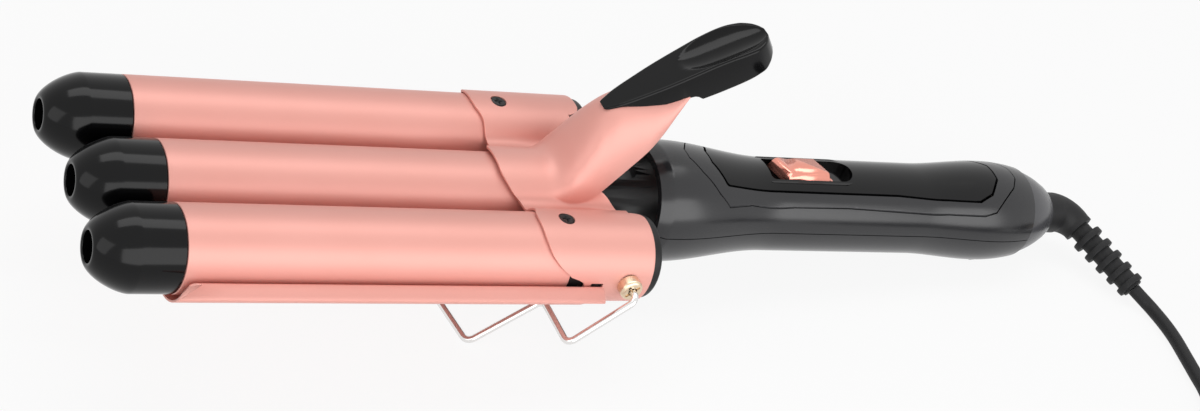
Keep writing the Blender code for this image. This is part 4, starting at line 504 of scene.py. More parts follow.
def rounded(corners, radii, count):
    """An open path through the corners, each one rounded by its own radius."""
    corners = [Vector(corner) for corner in corners]
    path = [corners[0]]
    for before, corner, after, radius in zip(corners, corners[1:], corners[2:], radii):
        back = (before - corner).normalized()
        ahead = (after - corner).normalized()
        half = back.angle(ahead) / 2
        reach = radius / math.tan(half)
        centre = corner + (back + ahead).normalized() * radius / math.sin(half)
        first = (corner + back * reach - centre).normalized()
        last = (corner + ahead * reach - centre).normalized()
        path += [centre + first.slerp(last, step / count) * radius for step in range(count + 1)]
    return path + [corners[-1]]


def smoothstep(value, low, high):
    share = min(max((value - low) / (high - low), 0), 1)
    return share * share * (3 - 2 * share)


def flow(points, count):
    """A smooth curve through the points, with so many steps from each to the next."""
    places = [Vector(point) for point in points]
    padded = [places[0] * 2 - places[1]] + places + [places[-1] * 2 - places[-2]]
    line = []
    for a, b, c, d in zip(padded, padded[1:], padded[2:], padded[3:]):
        for step in range(count):
            t = step / count
            line.append(0.5 * ((2 * b) + (c - a) * t + (2 * a - 5 * b + 4 * c - d) * t * t
                               + (3 * b - a - 3 * c + d) * t ** 3))
    return line + [places[-1]]


def between(low, high, count):
    return [low + (high - low) * index / count for index in range(count + 1)]


def eased(table, share):
    """A value from a table of pairs, on a smooth line that never overshoots them."""
    places = [pair[0] for pair in table]
    values = [pair[1] for pair in table]
    share = min(max(share, places[0]), places[-1])
    index = 0
    while index < len(places) - 2 and share > places[index + 1]:
        index += 1
    slopes = [(b - a) / (q - p) for a, b, p, q in zip(values, values[1:], places, places[1:])]
    turns = [slopes[0]]
    for a, b in zip(slopes, slopes[1:]):
        turns.append(2 * a * b / (a + b) if a * b > 0 else 0)
    turns.append(slopes[-1])
    width = places[index + 1] - places[index]
    t = (share - places[index]) / width
    return ((2 * t ** 3 - 3 * t ** 2 + 1) * values[index] + (t ** 3 - 2 * t ** 2 + t) * width * turns[index]
            + (3 * t ** 2 - 2 * t ** 3) * values[index + 1] + (t ** 3 - t ** 2) * width * turns[index + 1])


def new_object(name, mesh):
    piece = bpy.data.objects.new(name, mesh)
    bpy.context.scene.collection.objects.link(piece)
    return piece


def from_shape(name, shape):
    mesh = bpy.data.meshes.new(name)
    shape.to_mesh(mesh)
    shape.free()
    return new_object(name, mesh)


def bake(piece):
    """Turns a piece and its modifiers into one plain mesh."""
    view = bpy.context.evaluated_depsgraph_get()
    mesh = bpy.data.meshes.new_from_object(piece.evaluated_get(view))
    piece.modifiers.clear()
    piece.data = mesh
    return piece


def soften(piece, angle=30):
    """Smooth shading, with hard edges only where the faces meet at more than the angle."""
    piece.data.shade_smooth()
    piece.data.set_sharp_from_angle(angle=math.radians(angle))
    return piece


def bevel(piece, width, angle=50, steps=2):
    edge = piece.modifiers.new("edge", "BEVEL")
    edge.width = width
    edge.segments = steps
    edge.limit_method = "ANGLE"
    edge.angle_limit = math.radians(angle)
    edge.harden_normals = False
    return bake(piece)


def lay(piece):
    """Takes a piece shaped in the tool's frame to its place on the table."""
    piece.data.transform(IRON)
    return piece


def box_shape(name, low, high):
    shape = bmesh.new()
    bmesh.ops.create_cube(shape, size=1)
    size = Vector(high) - Vector(low)
    middle = (Vector(high) + Vector(low)) / 2
    place = Matrix.Translation(middle) @ Matrix.Diagonal((*size, 1))
    bmesh.ops.transform(shape, matrix=place, verts=shape.verts)
    return from_shape(name, shape)


def lathe(name, outline, foot, way, closed, steps):
    """Turns an outline of (along, radius) pairs about an axis through a foot."""
    shape = bmesh.new()
    verts = [shape.verts.new((0, radius, along)) for along, radius in outline]
    edges = [shape.edges.new(pair) for pair in zip(verts, verts[1:])]
    if closed:
        edges.append(shape.edges.new((verts[-1], verts[0])))
    bmesh.ops.spin(shape, geom=verts + edges, axis=(0, 0, 1), cent=(0, 0, 0), steps=steps,
                   angle=2 * math.pi)
    bmesh.ops.remove_doubles(shape, verts=shape.verts, dist=MERGE)
    bmesh.ops.recalc_face_normals(shape, faces=shape.faces)
    turn = Vector(way).to_track_quat("Z", "Y").to_matrix().to_4x4()
    bmesh.ops.transform(shape, matrix=Matrix.Translation(foot) @ turn, verts=shape.verts)
    return from_shape(name, shape)


def along_x(name, outline, y, z, closed, steps):
    return lathe(name, outline, (0, y, z), (1, 0, 0), closed, steps)


def hole_tool(radius, low, high, seat, way):
    """A round pin that cuts a hole, from low to high along its way through the seat."""
    return lathe("hole", [(low, 0), (low, radius), (high, radius), (high, 0)], seat, way, False, HOLE_STEPS)


def cut(piece, tools, operation="DIFFERENCE"):
    for tool in tools:
        step = piece.modifiers.new("cut", "BOOLEAN")
        step.operation = operation
        step.solver = "EXACT"
        step.object = tool
        bake(piece)
        bpy.data.objects.remove(tool)
    return piece


def make_barrels():
    bore = BARREL_RADIUS - BARREL_WALL
    for side, word in ((-1, "near"), (0, "middle"), (1, "far")):
        nose = 0 if side else MIDDLE_SETBACK
        drop = 0 if side else MIDDLE_DROP
        end = BARREL_END if side else MIDDLE_END
        body = "jaw" if side else "handle"
        front = nose + CAP_LENGTH + GAP
        outline = [(end, bore), (end, BARREL_RADIUS), (front + EDGE_ROUND, BARREL_RADIUS),
                   (front, BARREL_RADIUS - EDGE_ROUND), (front, bore)]
        piece = along_x(word + "_barrel_skin", outline, side * BARREL_PITCH, -drop, True, BARREL_STEPS)
        put(lay(soften(piece)), ROSE, body, "rose_coating", word + "_barrel")
        piece = along_x(word + "_cap_skin", cap_outline(nose, bore), side * BARREL_PITCH, -drop, False,
                        CAP_STEPS)
        put(lay(soften(piece, 32)), GLOSS, body, "black_gloss", word + "_barrel_cap")


def make_carriers():
    for side, word in ((-1, "near"), (1, "far")):
        bore = BARREL_RADIUS - BARREL_WALL - GAP
        round_rear = [(CARRIER_REAR - CARRIER_ROUNDING * (1 - math.cos(turn)),
                       BARREL_RADIUS - CARRIER_ROUNDING * (1 - math.sin(turn)))
                      for turn in between(0, math.pi / 2, 8)]
        shoulder = BARREL_END + GAP
        outline = [(CARRIER_REAR, 0)] + round_rear
        outline += [(shoulder, BARREL_RADIUS), (shoulder, bore), (CARRIER_FRONT, bore), (CARRIER_FRONT, 0)]
        piece = along_x(word + "_carrier_skin", outline, side * BARREL_PITCH, 0, False, CARRIER_STEPS)
        hole = hole_tool(HINGE_HOLE, -BARREL_RADIUS, BARREL_RADIUS + OVERRUN,
                         (HINGE_X, side * BARREL_PITCH, HINGE_Z), (0, side, 0))
        put(lay(soften(cut(piece, [hole]))), SATIN, "jaw", "black_satin", word + "_carrier")


def cap_outline(nose, bore):
    """A cap from its spigot over the domed front and down into the nose hole."""
    seam = nose + CAP_LENGTH
    outline = [(seam + CAP_SPIGOT_LENGTH, 0), (seam + CAP_SPIGOT_LENGTH, bore - GAP), (seam, bore - GAP),
               (seam, BARREL_RADIUS - EDGE_ROUND), (seam - EDGE_ROUND, BARREL_RADIUS)]
    for index in range(CAP_DOME_STEPS + 1):
        angle = math.pi / 2 * index / CAP_DOME_STEPS
        along = 1 - math.sin(angle) ** CAP_DOME_POWER
        rise = max(math.cos(angle), 0) ** CAP_DOME_POWER if index < CAP_DOME_STEPS else 0
        outline.append((nose + CAP_DOME_LENGTH * along,
                        CAP_NOSE_RADIUS + (BARREL_RADIUS - CAP_NOSE_RADIUS) * rise))
    lip = [(nose + CAP_RIM_BEVEL * (1 - math.cos(turn)),
            CAP_HOLE_RADIUS + CAP_RIM_BEVEL * (1 - math.sin(turn))) for turn in between(0, math.pi / 2, 4)]
    return outline + lip + [(nose + CAP_HOLE_DEPTH, CAP_HOLE_RADIUS), (nose + CAP_HOLE_DEPTH, 0)]


def valley_centre(outer, middle, fillet, side):
    """Centre of the rounding that touches an outer arc and the middle arc, in (y, z)."""
    reach_outer = outer + fillet
    reach_middle = middle + fillet
    span = math.hypot(BARREL_PITCH, MIDDLE_DROP)
    along = (span ** 2 + reach_middle ** 2 - reach_outer ** 2) / (2 * span)
    off = math.sqrt(reach_middle ** 2 - along ** 2)
    way = Vector((BARREL_PITCH / span, MIDDLE_DROP / span))
    return Vector((0, -MIDDLE_DROP)) + way * along + Vector((-way.y, way.x)) * side * off


def arc_about(centre, radius, start, end, count):
    return [Vector((centre[0] + radius * math.cos(angle), centre[1] + radius * math.sin(angle)))
            for angle in between(start, end, count)]


def angle_of(vector):
    return math.atan2(vector.y, vector.x)


def plate_columns():
    """Half section of the bridge plate from the middle plane outwards, in (y, z)."""
    middle = Vector((0, -MIDDLE_DROP))
    outer = Vector((BARREL_PITCH, 0))
    over_middle = BARREL_RADIUS + MIDDLE_CLEARANCE + SHEET / 2
    over_outer = BARREL_RADIUS + GAP + SHEET / 2
    valley = valley_centre(over_outer, over_middle, VALLEY_RADIUS, 1)
    columns = arc_about(middle, over_middle, math.pi / 2, angle_of(valley - middle), MIDDLE_COLUMNS * FINE)
    columns += arc_about(valley, VALLEY_RADIUS, angle_of(middle - valley) % (2 * math.pi),
                         angle_of(outer - valley) % (2 * math.pi), VALLEY_COLUMNS * FINE)[1:]
    columns += arc_about(outer, over_outer, angle_of(valley - outer), math.pi / 2 - SKIRT_ANGLE,
                         OUTER_COLUMNS * FINE)[1:]
    return columns


def plate_front(index, place):
    """X of the bridge plate's swept front edge at a column."""
    tilt_outer = math.atan2(place.x - BARREL_PITCH, place.y) / (math.pi / 2)
    tilt_middle = math.atan2(place.x, place.y + MIDDLE_DROP) / (math.pi / 2)
    table = OUTSIDE_SHARES if tilt_outer > 0 else INSIDE_SHARES
    from_outer = CROWN_X + SWEEP * eased(table, abs(tilt_outer))
    from_middle = MIDDLE_X + SWEEP * eased(MIDDLE_SHARES, tilt_middle)
    share = min(max((index / FINE - MIDDLE_COLUMNS) / VALLEY_COLUMNS, 0), 1)
    return from_middle + (from_outer - from_middle) * share


def plate_cut(index):
    along = (index / FINE - MIDDLE_COLUMNS) / (2 * VALLEY_COLUMNS)
    return CUT_X + (CUT_DIP * math.sin(math.pi * along) if 0 < along < 1 else 0)


def plate_rear(steps, columns, first):
    """X of the rear edge, which turns forwards in a round corner at the cut-out."""
    run = (columns[first + steps] - columns[first]).length
    short = max(REAR_CORNER - run, 0) / REAR_CORNER
    return PLATE_REAR - REAR_CORNER * (1 - math.sqrt(1 - short * short))


def neck_sizes(x):
    """Half width, edge height and crown height of the lever neck at x."""
    share = min(max((x - NECK_BASE_X) / (NECK_TIP_X - NECK_BASE_X), 0), 1)
    base = BARREL_RADIUS + MIDDLE_CLEARANCE + SHEET / 2 - MIDDLE_DROP
    crown = base + (NECK_TIP_HEIGHT - base) * eased(CROWN_SHARES, share)
    return NECK_HALF_WIDTH * eased(WIDTH_SHARES, share), NECK_TIP_HEIGHT * eased(EDGE_SHARES, share), crown


def neck_place(x, index, columns):
    """A column's place at x, blended from the plain section into the neck's arch."""
    last = MIDDLE_COLUMNS * FINE
    if index > last + VALLEY_COLUMNS * FINE:
        return columns[index]
    blend = smoothstep(x, NECK_BASE_X, NECK_BASE_X + (CUT_X - NECK_BASE_X) / 2)
    width, edge, crown = neck_sizes(x)
    if index > last:
        shift = columns[last].lerp(Vector((width, edge)), blend) - columns[last]
        return columns[index] + shift * (1 - (index - last) / (VALLEY_COLUMNS * FINE)) ** 2
    angle = math.pi / 2 * index / last
    height = max(math.cos(angle), 0) ** NECK_FULLNESS if index < last else 0
    arch = Vector((width * math.sin(angle) ** NECK_FULLNESS, edge + (crown - edge) * height))
    return columns[index].lerp(arch, blend)


def plate_point(x, index, columns):
    place = neck_place(min(x, NECK_TIP_X), index, columns) if x > NECK_BASE_X else columns[index]
    return (x, place.x, place.y)


def add_strip(shape, row, following):
    for a, b, c, d in zip(row, row[1:], following[1:], following):
        shape.faces.new((a, b, c, d))


def thicken(piece):
    mirror = piece.modifiers.new("halves", "MIRROR")
    mirror.use_axis = (False, True, False)
    mirror.use_clip = True
    mirror.merge_threshold = MERGE
    wall = piece.modifiers.new("wall", "SOLIDIFY")
    wall.thickness = SHEET
    wall.offset = 0
    wall.use_even_offset = True
    return bake(piece)


def cut_column(columns):
    """First column, from the middle, that runs on behind the cut-outs beside the neck."""
    start = (MIDDLE_COLUMNS + VALLEY_COLUMNS) * FINE
    for index in range(start + 1, len(columns)):
        if math.atan2(BARREL_PITCH - columns[index].x, columns[index].y) < CUT_ANGLE:
            return index
    return len(columns) - 1


def plate_sheet():
    """Half of the bridge plate as an open grid, then mirrored and thickened."""
    columns = plate_columns()
    shape = bmesh.new()
    rows = []
    for share in between(0, 1, PLATE_ROWS):
        row = []
        for index, place in enumerate(columns):
            front = plate_front(index, place)
            x = front + (plate_cut(index) - front) * share
            row.append(shape.verts.new(plate_point(x, index, columns)))
        rows.append(row)
    for row, following in zip(rows, rows[1:]):
        add_strip(shape, row, following)
    previous = rows[-1][:MIDDLE_COLUMNS * FINE + 1]
    for x in between(CUT_X, NECK_TIP_X, NECK_ROWS)[1:]:
        row = [shape.verts.new(plate_point(x, index, columns)) for index in range(len(previous))]
        add_strip(shape, previous, row)
        previous = row
    first = cut_column(columns)
    previous = rows[-1][first:]
    for share in between(0, 1, REAR_ROWS)[1:]:
        row = []
        for index in range(first, len(columns)):
            x = plate_cut(index) + (plate_rear(index - first, columns, first) - plate_cut(index)) * share
            row.append(shape.verts.new((x, columns[index].x, columns[index].y)))
        add_strip(shape, previous, row)
        previous = row
    return thicken(from_shape("bridge_skin", shape))


def make_bridge():
    piece = bevel(plate_sheet(), EDGE_ROUND)
    tools = []
    for side in (-1, 1):
        inner, outer = sorted((side * SLOT_LOW[1], side * SLOT_HIGH[1]))
        low = (SLOT_LOW[0], inner, SLOT_LOW[2])
        tools.append(box_shape("slot", low, (SLOT_HIGH[0], outer, SLOT_HIGH[2])))
        seat = (HINGE_X, side * (BARREL_PITCH + BARREL_RADIUS), HINGE_Z)
        tools.append(hole_tool(HINGE_HOLE, -OVERRUN, OVERRUN, seat, (0, 1, 0)))
        seat = (CARRIER_SCREW_X, side * (BARREL_PITCH - CARRIER_SCREW_IN), BARREL_RADIUS)
        tools.append(hole_tool(CARRIER_HOLE, -OVERRUN, OVERRUN, seat, (0, 0, 1)))
    cut(piece, tools)
    put(lay(soften(piece, 40)), ROSE, "jaw", "rose_coating", "bridge_plate")


def neck_top(x, y):
    """Height of the neck's outer face at a place in plan, or none beside the neck."""
    width, edge, crown = neck_sizes(x)
    if abs(y) >= width:
        return None
    share = (1 - (abs(y) / width) ** (2 / NECK_FULLNESS)) ** (NECK_FULLNESS / 2)
    return edge + (crown - edge) * share + SHEET / 2


def pad_frame():
    front = Vector((PAD_FRONT_X, 0, neck_sizes(PAD_FRONT_X)[2] + PAD_FRONT_RISE))
    way = (Vector((NECK_TIP_X, 0, NECK_TIP_HEIGHT + PAD_TIP_RISE)) - front).normalized()
    return front, way, Vector((-way.z, 0, way.x))


def dish_fall(along, across):
    """Depth of the thumb dish, which fades out softly at its rim."""
    reach = math.hypot(along / DISH_LENGTH, across / DISH_WIDTH)
    return DISH_DEPTH * max(0, 1 - reach * reach) ** 0.8 if reach < 1 else 0


def pad_section(share):
    """A closed ring round the pad: a row over the top, a rounded side, and a row underneath."""
    front, way, up = pad_frame()
    width = PAD_HALF_WIDTH * eased(PAD_WIDTH_SHARES, share)
    droop = PAD_DROOP * eased(DROOP_SHARES, share)
    depth = PAD_FRONT_DEPTH + (PAD_DEPTH - PAD_FRONT_DEPTH) * eased(PAD_DEPTH_SHARES, share) - droop
    round_edge = min(PAD_EDGE, width / 3, depth / 3)
    corners = [(0, 0), (width, 0), (width + PAD_FLARE, -depth), (0, -depth)]
    half = rounded([Vector((y, z, 0)) for y, z in corners], [round_edge] * 2, 6)
    top = [Vector((half[1].x * step / PAD_COLUMNS, 0, 0)) for step in range(PAD_COLUMNS)]
    side = half[1:-1]
    low = [side[-1].lerp(half[-1], step / PAD_COLUMNS) for step in range(1, PAD_COLUMNS + 1)]
    places = []
    for spot in top + side + low:
        fall = droop
        if spot.y > -depth / 2:
            fall += dish_fall((share - DISH_AT) * PAD_LENGTH, spot.x)
        places.append((spot.x, front + way * PAD_LENGTH * share + up * (spot.y - fall)))
    half = [Vector((place.x, y, place.z)) for y, place in places]
    return half + [Vector((place.x, -place.y, place.z)) for place in reversed(half[1:-1])]


def make_pad():
    shape = bmesh.new()
    shares = [0.5 - 0.5 * math.cos(math.pi * step / PAD_ROWS) for step in range(PAD_ROWS + 1)]
    rings = []
    for share in shares:
        ring = []
        for place in pad_section(share):
            floor = neck_top(place.x, place.y) if place.x < NECK_TIP_X else None
            if floor is not None:
                place.z = max(place.z, floor + GAP)
            ring.append(shape.verts.new(place))
        rings.append(ring)
    for ring, following in zip(rings, rings[1:]):
        add_strip(shape, ring + ring[:1], following + following[:1])
    shape.faces.new(rings[0])
    shape.faces.new(rings[-1])
    bmesh.ops.remove_doubles(shape, verts=shape.verts, dist=MERGE)
    bmesh.ops.recalc_face_normals(shape, faces=shape.faces)
    put(lay(soften(from_shape("pad_skin", shape), 45)), GLOSS, "jaw", "black_gloss", "thumb_pad")


def lower_columns():
    """Half section of the lower plate from the middle plane out to the lip, in (y, z)."""
    middle = Vector((0, -MIDDLE_DROP))
    outer = Vector((BARREL_PITCH, 0))
    under_outer = BARREL_RADIUS + TROUGH_CLEARANCE + SHEET / 2
    under_middle = BARREL_RADIUS + GAP + SHEET / 2
    valley = valley_centre(under_outer, under_middle, LOWER_VALLEY_RADIUS, -1)
    columns = arc_about(middle, under_middle, -math.pi / 2, angle_of(valley - middle), 6 * FINE)
    columns += arc_about(valley, LOWER_VALLEY_RADIUS, angle_of(middle - valley) % (2 * math.pi),
                         angle_of(outer - valley) % (2 * math.pi), 4 * FINE)[1:]
    bend = math.asin(LIP_BEND_RADIUS / (under_outer + LIP_BEND_RADIUS))
    columns += arc_about(outer, under_outer, angle_of(valley - outer) % (2 * math.pi),
                         2 * math.pi - bend, 12 * FINE)[1:]
    centre = (BARREL_PITCH + (under_outer + LIP_BEND_RADIUS) * math.cos(bend), -LIP_BEND_RADIUS)
    columns += arc_about(centre, LIP_BEND_RADIUS, math.pi - bend, math.pi / 2, 3 * FINE)[1:]
    lip = Vector((LIP_HALF_WIDTH, -LIP_DROOP))
    start = columns[-1]
    return columns + [start.lerp(lip, step / FINE) for step in range(1, FINE + 1)]


def lower_ends(index, last):
    """X of the lower plate's front and rear edges at a column, counted from the lip's edge."""
    steps = (last - index) / FINE
    notch = min(max(LIP_COLUMNS + 1 - steps, 0) / LIP_COLUMNS, 1)
    front = LOWER_FRONT + (LIP_NOTCH - LOWER_FRONT) * notch
    if steps < 1:
        front = LIP_FRONT + (front - LIP_FRONT) * steps
    slant = LIP_REAR_SLANT * min(max(LIP_COLUMNS + 1 - steps, 0), 1)
    return front, LOWER_REAR + slant * min(steps, 1)


def make_lower_plate():
    columns = lower_columns()
    last = len(columns) - 1
    shape = bmesh.new()
    rows = []
    for share in between(0, 1, 12):
        row = []
        for index, place in enumerate(columns):
            front, rear = lower_ends(index, last)
            row.append(shape.verts.new((front + (rear - front) * share, place.x, place.y)))
        rows.append(row)
    for row, following in zip(rows, rows[1:]):
        add_strip(shape, row, following)
    tongue = columns[:TONGUE_COLUMNS * FINE + 1]
    rear = [shape.verts.new((TONGUE_REAR, place.x, place.y)) for place in tongue]
    add_strip(shape, rows[-1][:len(tongue)], rear)
    piece = bevel(thicken(from_shape("lower_skin", shape)), EDGE_ROUND)
    put(lay(soften(piece, 40)), ROSE, "handle", "rose_coating", "lower_plate")


def handle_radius(x):
    """Outer radius of the handle: bell, waist, heel swell and domed end."""
    if x < HANDLE_RING_X:
        share = (x - HANDLE_FRONT) / (HANDLE_RING_X - HANDLE_FRONT)
        return HANDLE_LIP_RADIUS + (HANDLE_BELL_RADIUS - HANDLE_LIP_RADIUS) * share
    if x < HANDLE_SWELL_X:
        waist = smoothstep(x, HANDLE_BELL_X, HANDLE_WAIST_X)
        return HANDLE_BELL_RADIUS + (HANDLE_WAIST_RADIUS - HANDLE_BELL_RADIUS) * waist
    if x < HANDLE_HEEL_X:
        swell = smoothstep(x, HANDLE_SWELL_X, HANDLE_HEEL_X)
        return HANDLE_WAIST_RADIUS + (HANDLE_HEEL_RADIUS - HANDLE_WAIST_RADIUS) * swell
    along = (x - HANDLE_HEEL_X) / HANDLE_DOME_LENGTH
    return HANDLE_HEEL_RADIUS * math.sqrt(1 - along * along)


def handle_skin():
    """The handle's wall from its front lip to the end cap, as one turned tube."""
    lip = between(HANDLE_FRONT, HANDLE_RING_X, 2)
    outer = [(x, handle_radius(x)) for x in lip + between(HANDLE_RING_X, HANDLE_BELL_X, 4)[1:]
             + between(HANDLE_BELL_X, HANDLE_CAP_X, 110)[1:]]
    bore = HANDLE_LIP_RADIUS - HANDLE_WALL
    inner = [(HANDLE_FRONT, bore), (HANDLE_BELL_X, bore)]
    inner += [(x, min(bore, handle_radius(x) - HANDLE_WALL))
              for x in between(HANDLE_BELL_X, HANDLE_CAP_X, 30)[1:]]
    return along_x("handle_skin", list(reversed(outer)) + inner, 0, HANDLE_Z, True, HANDLE_STEPS)


def copy_of(piece):
    return new_object(piece.name, piece.data.copy())


def plan_outline(front, rear, half_width, table, corner, grow):
    """A closed outline in plan from a table of half widths along its length."""
    length = rear - front
    upper = [Vector((front - grow + (length + 2 * grow) * along, half_width * width + grow, 0))
             for along, width in table]
    points = upper + [Vector((point.x, -point.y, 0)) for point in reversed(upper)]
    outline = []
    for index, point in enumerate(points):
        before = points[index - 1]
        after = points[(index + 1) % len(points)]
        if (before - point).angle(after - point) < CORNER_ANGLE:
            outline += rounded([before, point, after], [corner], 8)[1:-1]
        else:
            outline.append(point)
    return outline


def prism(name, outline, low, high):
    shape = bmesh.new()
    floor = [shape.verts.new((point.x, point.y, low)) for point in outline]
    roof = [shape.verts.new((point.x, point.y, high)) for point in outline]
    shape.faces.new(floor)
    shape.faces.new(roof)
    add_strip(shape, floor + floor[:1], roof + roof[:1])
    bmesh.ops.recalc_face_normals(shape, faces=shape.faces)
    return from_shape(name, shape)


def cover_tool(grow):
    outline = plan_outline(COVER_FRONT, COVER_REAR, COVER_HALF_WIDTH, COVER_SHARES, COVER_CORNER, grow)
    return prism("tool", outline, HANDLE_Z + COVER_LEDGE, HANDLE_Z + HANDLE_BELL_RADIUS + OVERRUN)


def inlay_tool(grow):
    outline = plan_outline(INLAY_FRONT, INLAY_REAR, INLAY_HALF_WIDTH, INLAY_SHARES, INLAY_CORNER, grow)
    return prism("tool", outline, HANDLE_Z + COVER_LEDGE, HANDLE_Z + HANDLE_BELL_RADIUS + OVERRUN)


def half_tool(low, high):
    reach = HANDLE_BELL_RADIUS + OVERRUN
    return box_shape("half", (HANDLE_FRONT - OVERRUN, -reach, low), (HANDLE_CAP_X + OVERRUN, reach, high))


def recess_outline(grow):
    half = RECESS_HALF_WIDTH + grow
    front = RECESS_FRONT - grow
    rear = RECESS_REAR + grow
    corners = [Vector((x, y, 0)) for x, y in ((front, -half), (rear, -half), (rear, half), (front, half))]
    radii = [RECESS_CORNER, half - GAP, half - GAP, RECESS_CORNER]
    outline = []
    for index, corner in enumerate(corners):
        outline += rounded([corners[index - 1], corner, corners[(index + 1) % 4]], [radii[index]], 10)[1:-1]
    return outline


def heel_wedge():
    """The heel under the handle, flat on the table, and rounded where it leaves the shell."""
    drop = HEEL_LENGTH / 2 * math.tan(IRON_TILT)
    shape = bmesh.new()
    rings = []
    for end in (-1, 1):
        x = HEEL_X + end * HEEL_LENGTH / 2
        z = -HEEL_DROP + end * drop
        corners = ((-HEEL_WIDTH / 2, z), (HEEL_WIDTH / 2, z), (HEEL_WIDTH / 2, z + HEEL_HEIGHT),
                   (-HEEL_WIDTH / 2, z + HEEL_HEIGHT))
        rings.append([shape.verts.new((x, y, height)) for y, height in corners])
    add_strip(shape, rings[0] + rings[0][:1], rings[1] + rings[1][:1])
    for ring in rings:
        shape.faces.new(ring)
    bmesh.ops.recalc_face_normals(shape, faces=shape.faces)
    return bevel(from_shape("heel", shape), HEEL_ROUND, 50, 4)


def make_handle():
    reach = HANDLE_BELL_RADIUS + OVERRUN
    skin = handle_skin()
    upper = cut(copy_of(skin), [half_tool(HANDLE_Z + PARTING / 2, HANDLE_Z + reach)], "INTERSECT")
    lower = cut(skin, [half_tool(HANDLE_Z - reach, HANDLE_Z - PARTING / 2)], "INTERSECT")
    lower = cut(lower, [heel_wedge()], "UNION")
    cover = cut(copy_of(upper), [cover_tool(-PARTING / 2)], "INTERSECT")
    upper = cut(upper, [cover_tool(PARTING / 2)])
    inlay = cut(copy_of(cover), [inlay_tool(-INLAY_GROOVE / 2)], "INTERSECT")
    cover = cut(cover, [inlay_tool(INLAY_GROOVE / 2)])
    floor = HANDLE_Z + HANDLE_WAIST_RADIUS - RECESS_DEPTH
    tub = prism("tub", recess_outline(RECESS_FLOOR), floor - RECESS_FLOOR,
                HANDLE_Z + HANDLE_WAIST_RADIUS - HANDLE_WALL / 2)
    inlay = cut(inlay, [tub], "UNION")
    recess = prism("recess", recess_outline(0), floor, HANDLE_Z + HANDLE_WAIST_RADIUS + OVERRUN)
    inlay = cut(inlay, [recess])
    for piece, name, node, material in ((upper, "upper_shell_skin", "handle_upper_shell", HANDLE_GREY_WITH_PAINTED_SHEEN),
                                        (cover, "cover_skin", "top_cover", HANDLE_GREY_WITH_PAINTED_SHEEN),
                                        (inlay, "inlay_skin", "top_inlay", INLAY),
                                        (lower, "lower_shell_skin", "handle_lower_shell", HANDLE_GREY_WITH_PAINTED_SHEEN)):
        piece.name = name
        put(lay(soften(piece, 35)), material, "handle", "black_gloss", node)


def make_end_cap():
    front = HANDLE_CAP_X + GAP
    start = Vector((HANDLE_END, END_CAP_REAR_RADIUS))
    end = Vector((front, handle_radius(front) - END_CAP_STEP))
    middle = (start + end) / 2
    half = (end - start).length / 2
    side = Vector((end.y - start.y, start.x - end.x)).normalized()
    centre = middle - side * half / math.tan(END_CAP_BULGE)
    first = (start - centre).normalized()
    last = (end - centre).normalized()
    radius = (start - centre).length
    outer = [centre + first.slerp(last, share) * radius for share in between(0, 1, 18)]
    cavity = SWIVEL_FLANGE_RADIUS + GAP
    seat = HANDLE_END - END_WALL
    outline = [(HANDLE_END, END_BORE)] + [tuple(point) for point in outer]
    outline += [(front, cavity), (seat, cavity), (seat, END_BORE)]
    piece = along_x("end_cap_skin", outline, 0, HANDLE_Z, True, BARREL_STEPS)
    put(lay(soften(piece, 30)), END_CAP_PAINTED_REFLECTION, "handle", "black_gloss", "end_cap")


def stand_line():
    """Centre line of the wire stand from one hinge end round to the other."""
    way = Vector((-math.cos(STAND_ANGLE), 0, -math.sin(STAND_ANGLE)))
    hinge = Vector((HINGE_X, 0, HINGE_Z))
    depth = HINGE_Z + BARREL_RADIUS + TROUGH_CLEARANCE + SHEET + STAND_STEP_CLEARANCE + WIRE_RADIUS
    step = hinge + way * depth / math.sin(STAND_ANGLE)
    foot = hinge + way * STAND_FOOT_REACH
    half = [hinge + Vector((0, SCREW_SEAT - STAND_TIP_DEPTH, 0)), hinge + Vector((0, STAND_HALF_WIDTH, 0)),
            step + Vector((0, STAND_HALF_WIDTH, 0)), step + Vector((0, STAND_STEP_HALF_WIDTH, 0)),
            foot + Vector((0, STAND_FOOT_HALF_WIDTH, 0))]
    bow = foot - Vector((math.cos(IRON_TILT), 0, math.sin(-IRON_TILT))) * STAND_FOOT_BOW
    corners = [Vector((point.x, -point.y, point.z)) for point in half] + [bow] + list(reversed(half))
    bends = [STAND_BEND, STAND_BEND, STAND_BEND, STAND_FOOT_BEND]
    return rounded(corners, bends + [STAND_BOW_BEND] + list(reversed(bends)), 10)


def make_stand():
    piece = round_curve("stand_wire", [IRON @ point for point in stand_line()], WIRE_RADIUS, 6)
    put(piece, CHROME, "stand", "chrome_wire", "wire_stand")


def make_hinge_screws():
    for side, word in ((-1, "near"), (1, "far")):
        hole = WIRE_RADIUS + PARTING
        top = HINGE_SCREW_HEAD
        dome = [(top - HINGE_SCREW_EDGE * (1 - math.cos(turn)),
                 HINGE_SCREW_RADIUS - HINGE_SCREW_EDGE * (1 - math.sin(turn)))
                for turn in between(0, math.pi / 2, 6)]
        outline = [(-HINGE_SCREW_SHANK, hole), (top, hole)] + dome
        outline += [(0, HINGE_SCREW_RADIUS), (0, HINGE_BORE - GAP), (-HINGE_SCREW_SHANK, HINGE_BORE - GAP)]
        seat = Vector((HINGE_X, side * SCREW_SEAT, HINGE_Z))
        piece = lathe(word + "_hinge_screw_skin", outline, seat, (0, side, 0), True, SCREW_STEPS)
        tools = []
        cross = (HINGE_CROSS_LENGTH / 2, HINGE_CROSS_WIDTH / 2)
        turn = Matrix.Rotation(0 if side > 0 else math.pi, 4, "Z") @ Matrix.Rotation(STAND_ANGLE, 4, "Y")
        place = Matrix.Translation(seat + Vector((0, side * top, 0))) @ turn
        for length, width in (cross, cross[::-1]):
            tool = box_shape("cross", (-length, -HINGE_CROSS_DEPTH, -width), (length, OVERRUN, width))
            tool.data.transform(place)
            tools.append(tool)
        put(lay(soften(cut(piece, tools), 35)), BRASS, "handle", "pale_brass", word + "_hinge_screw")


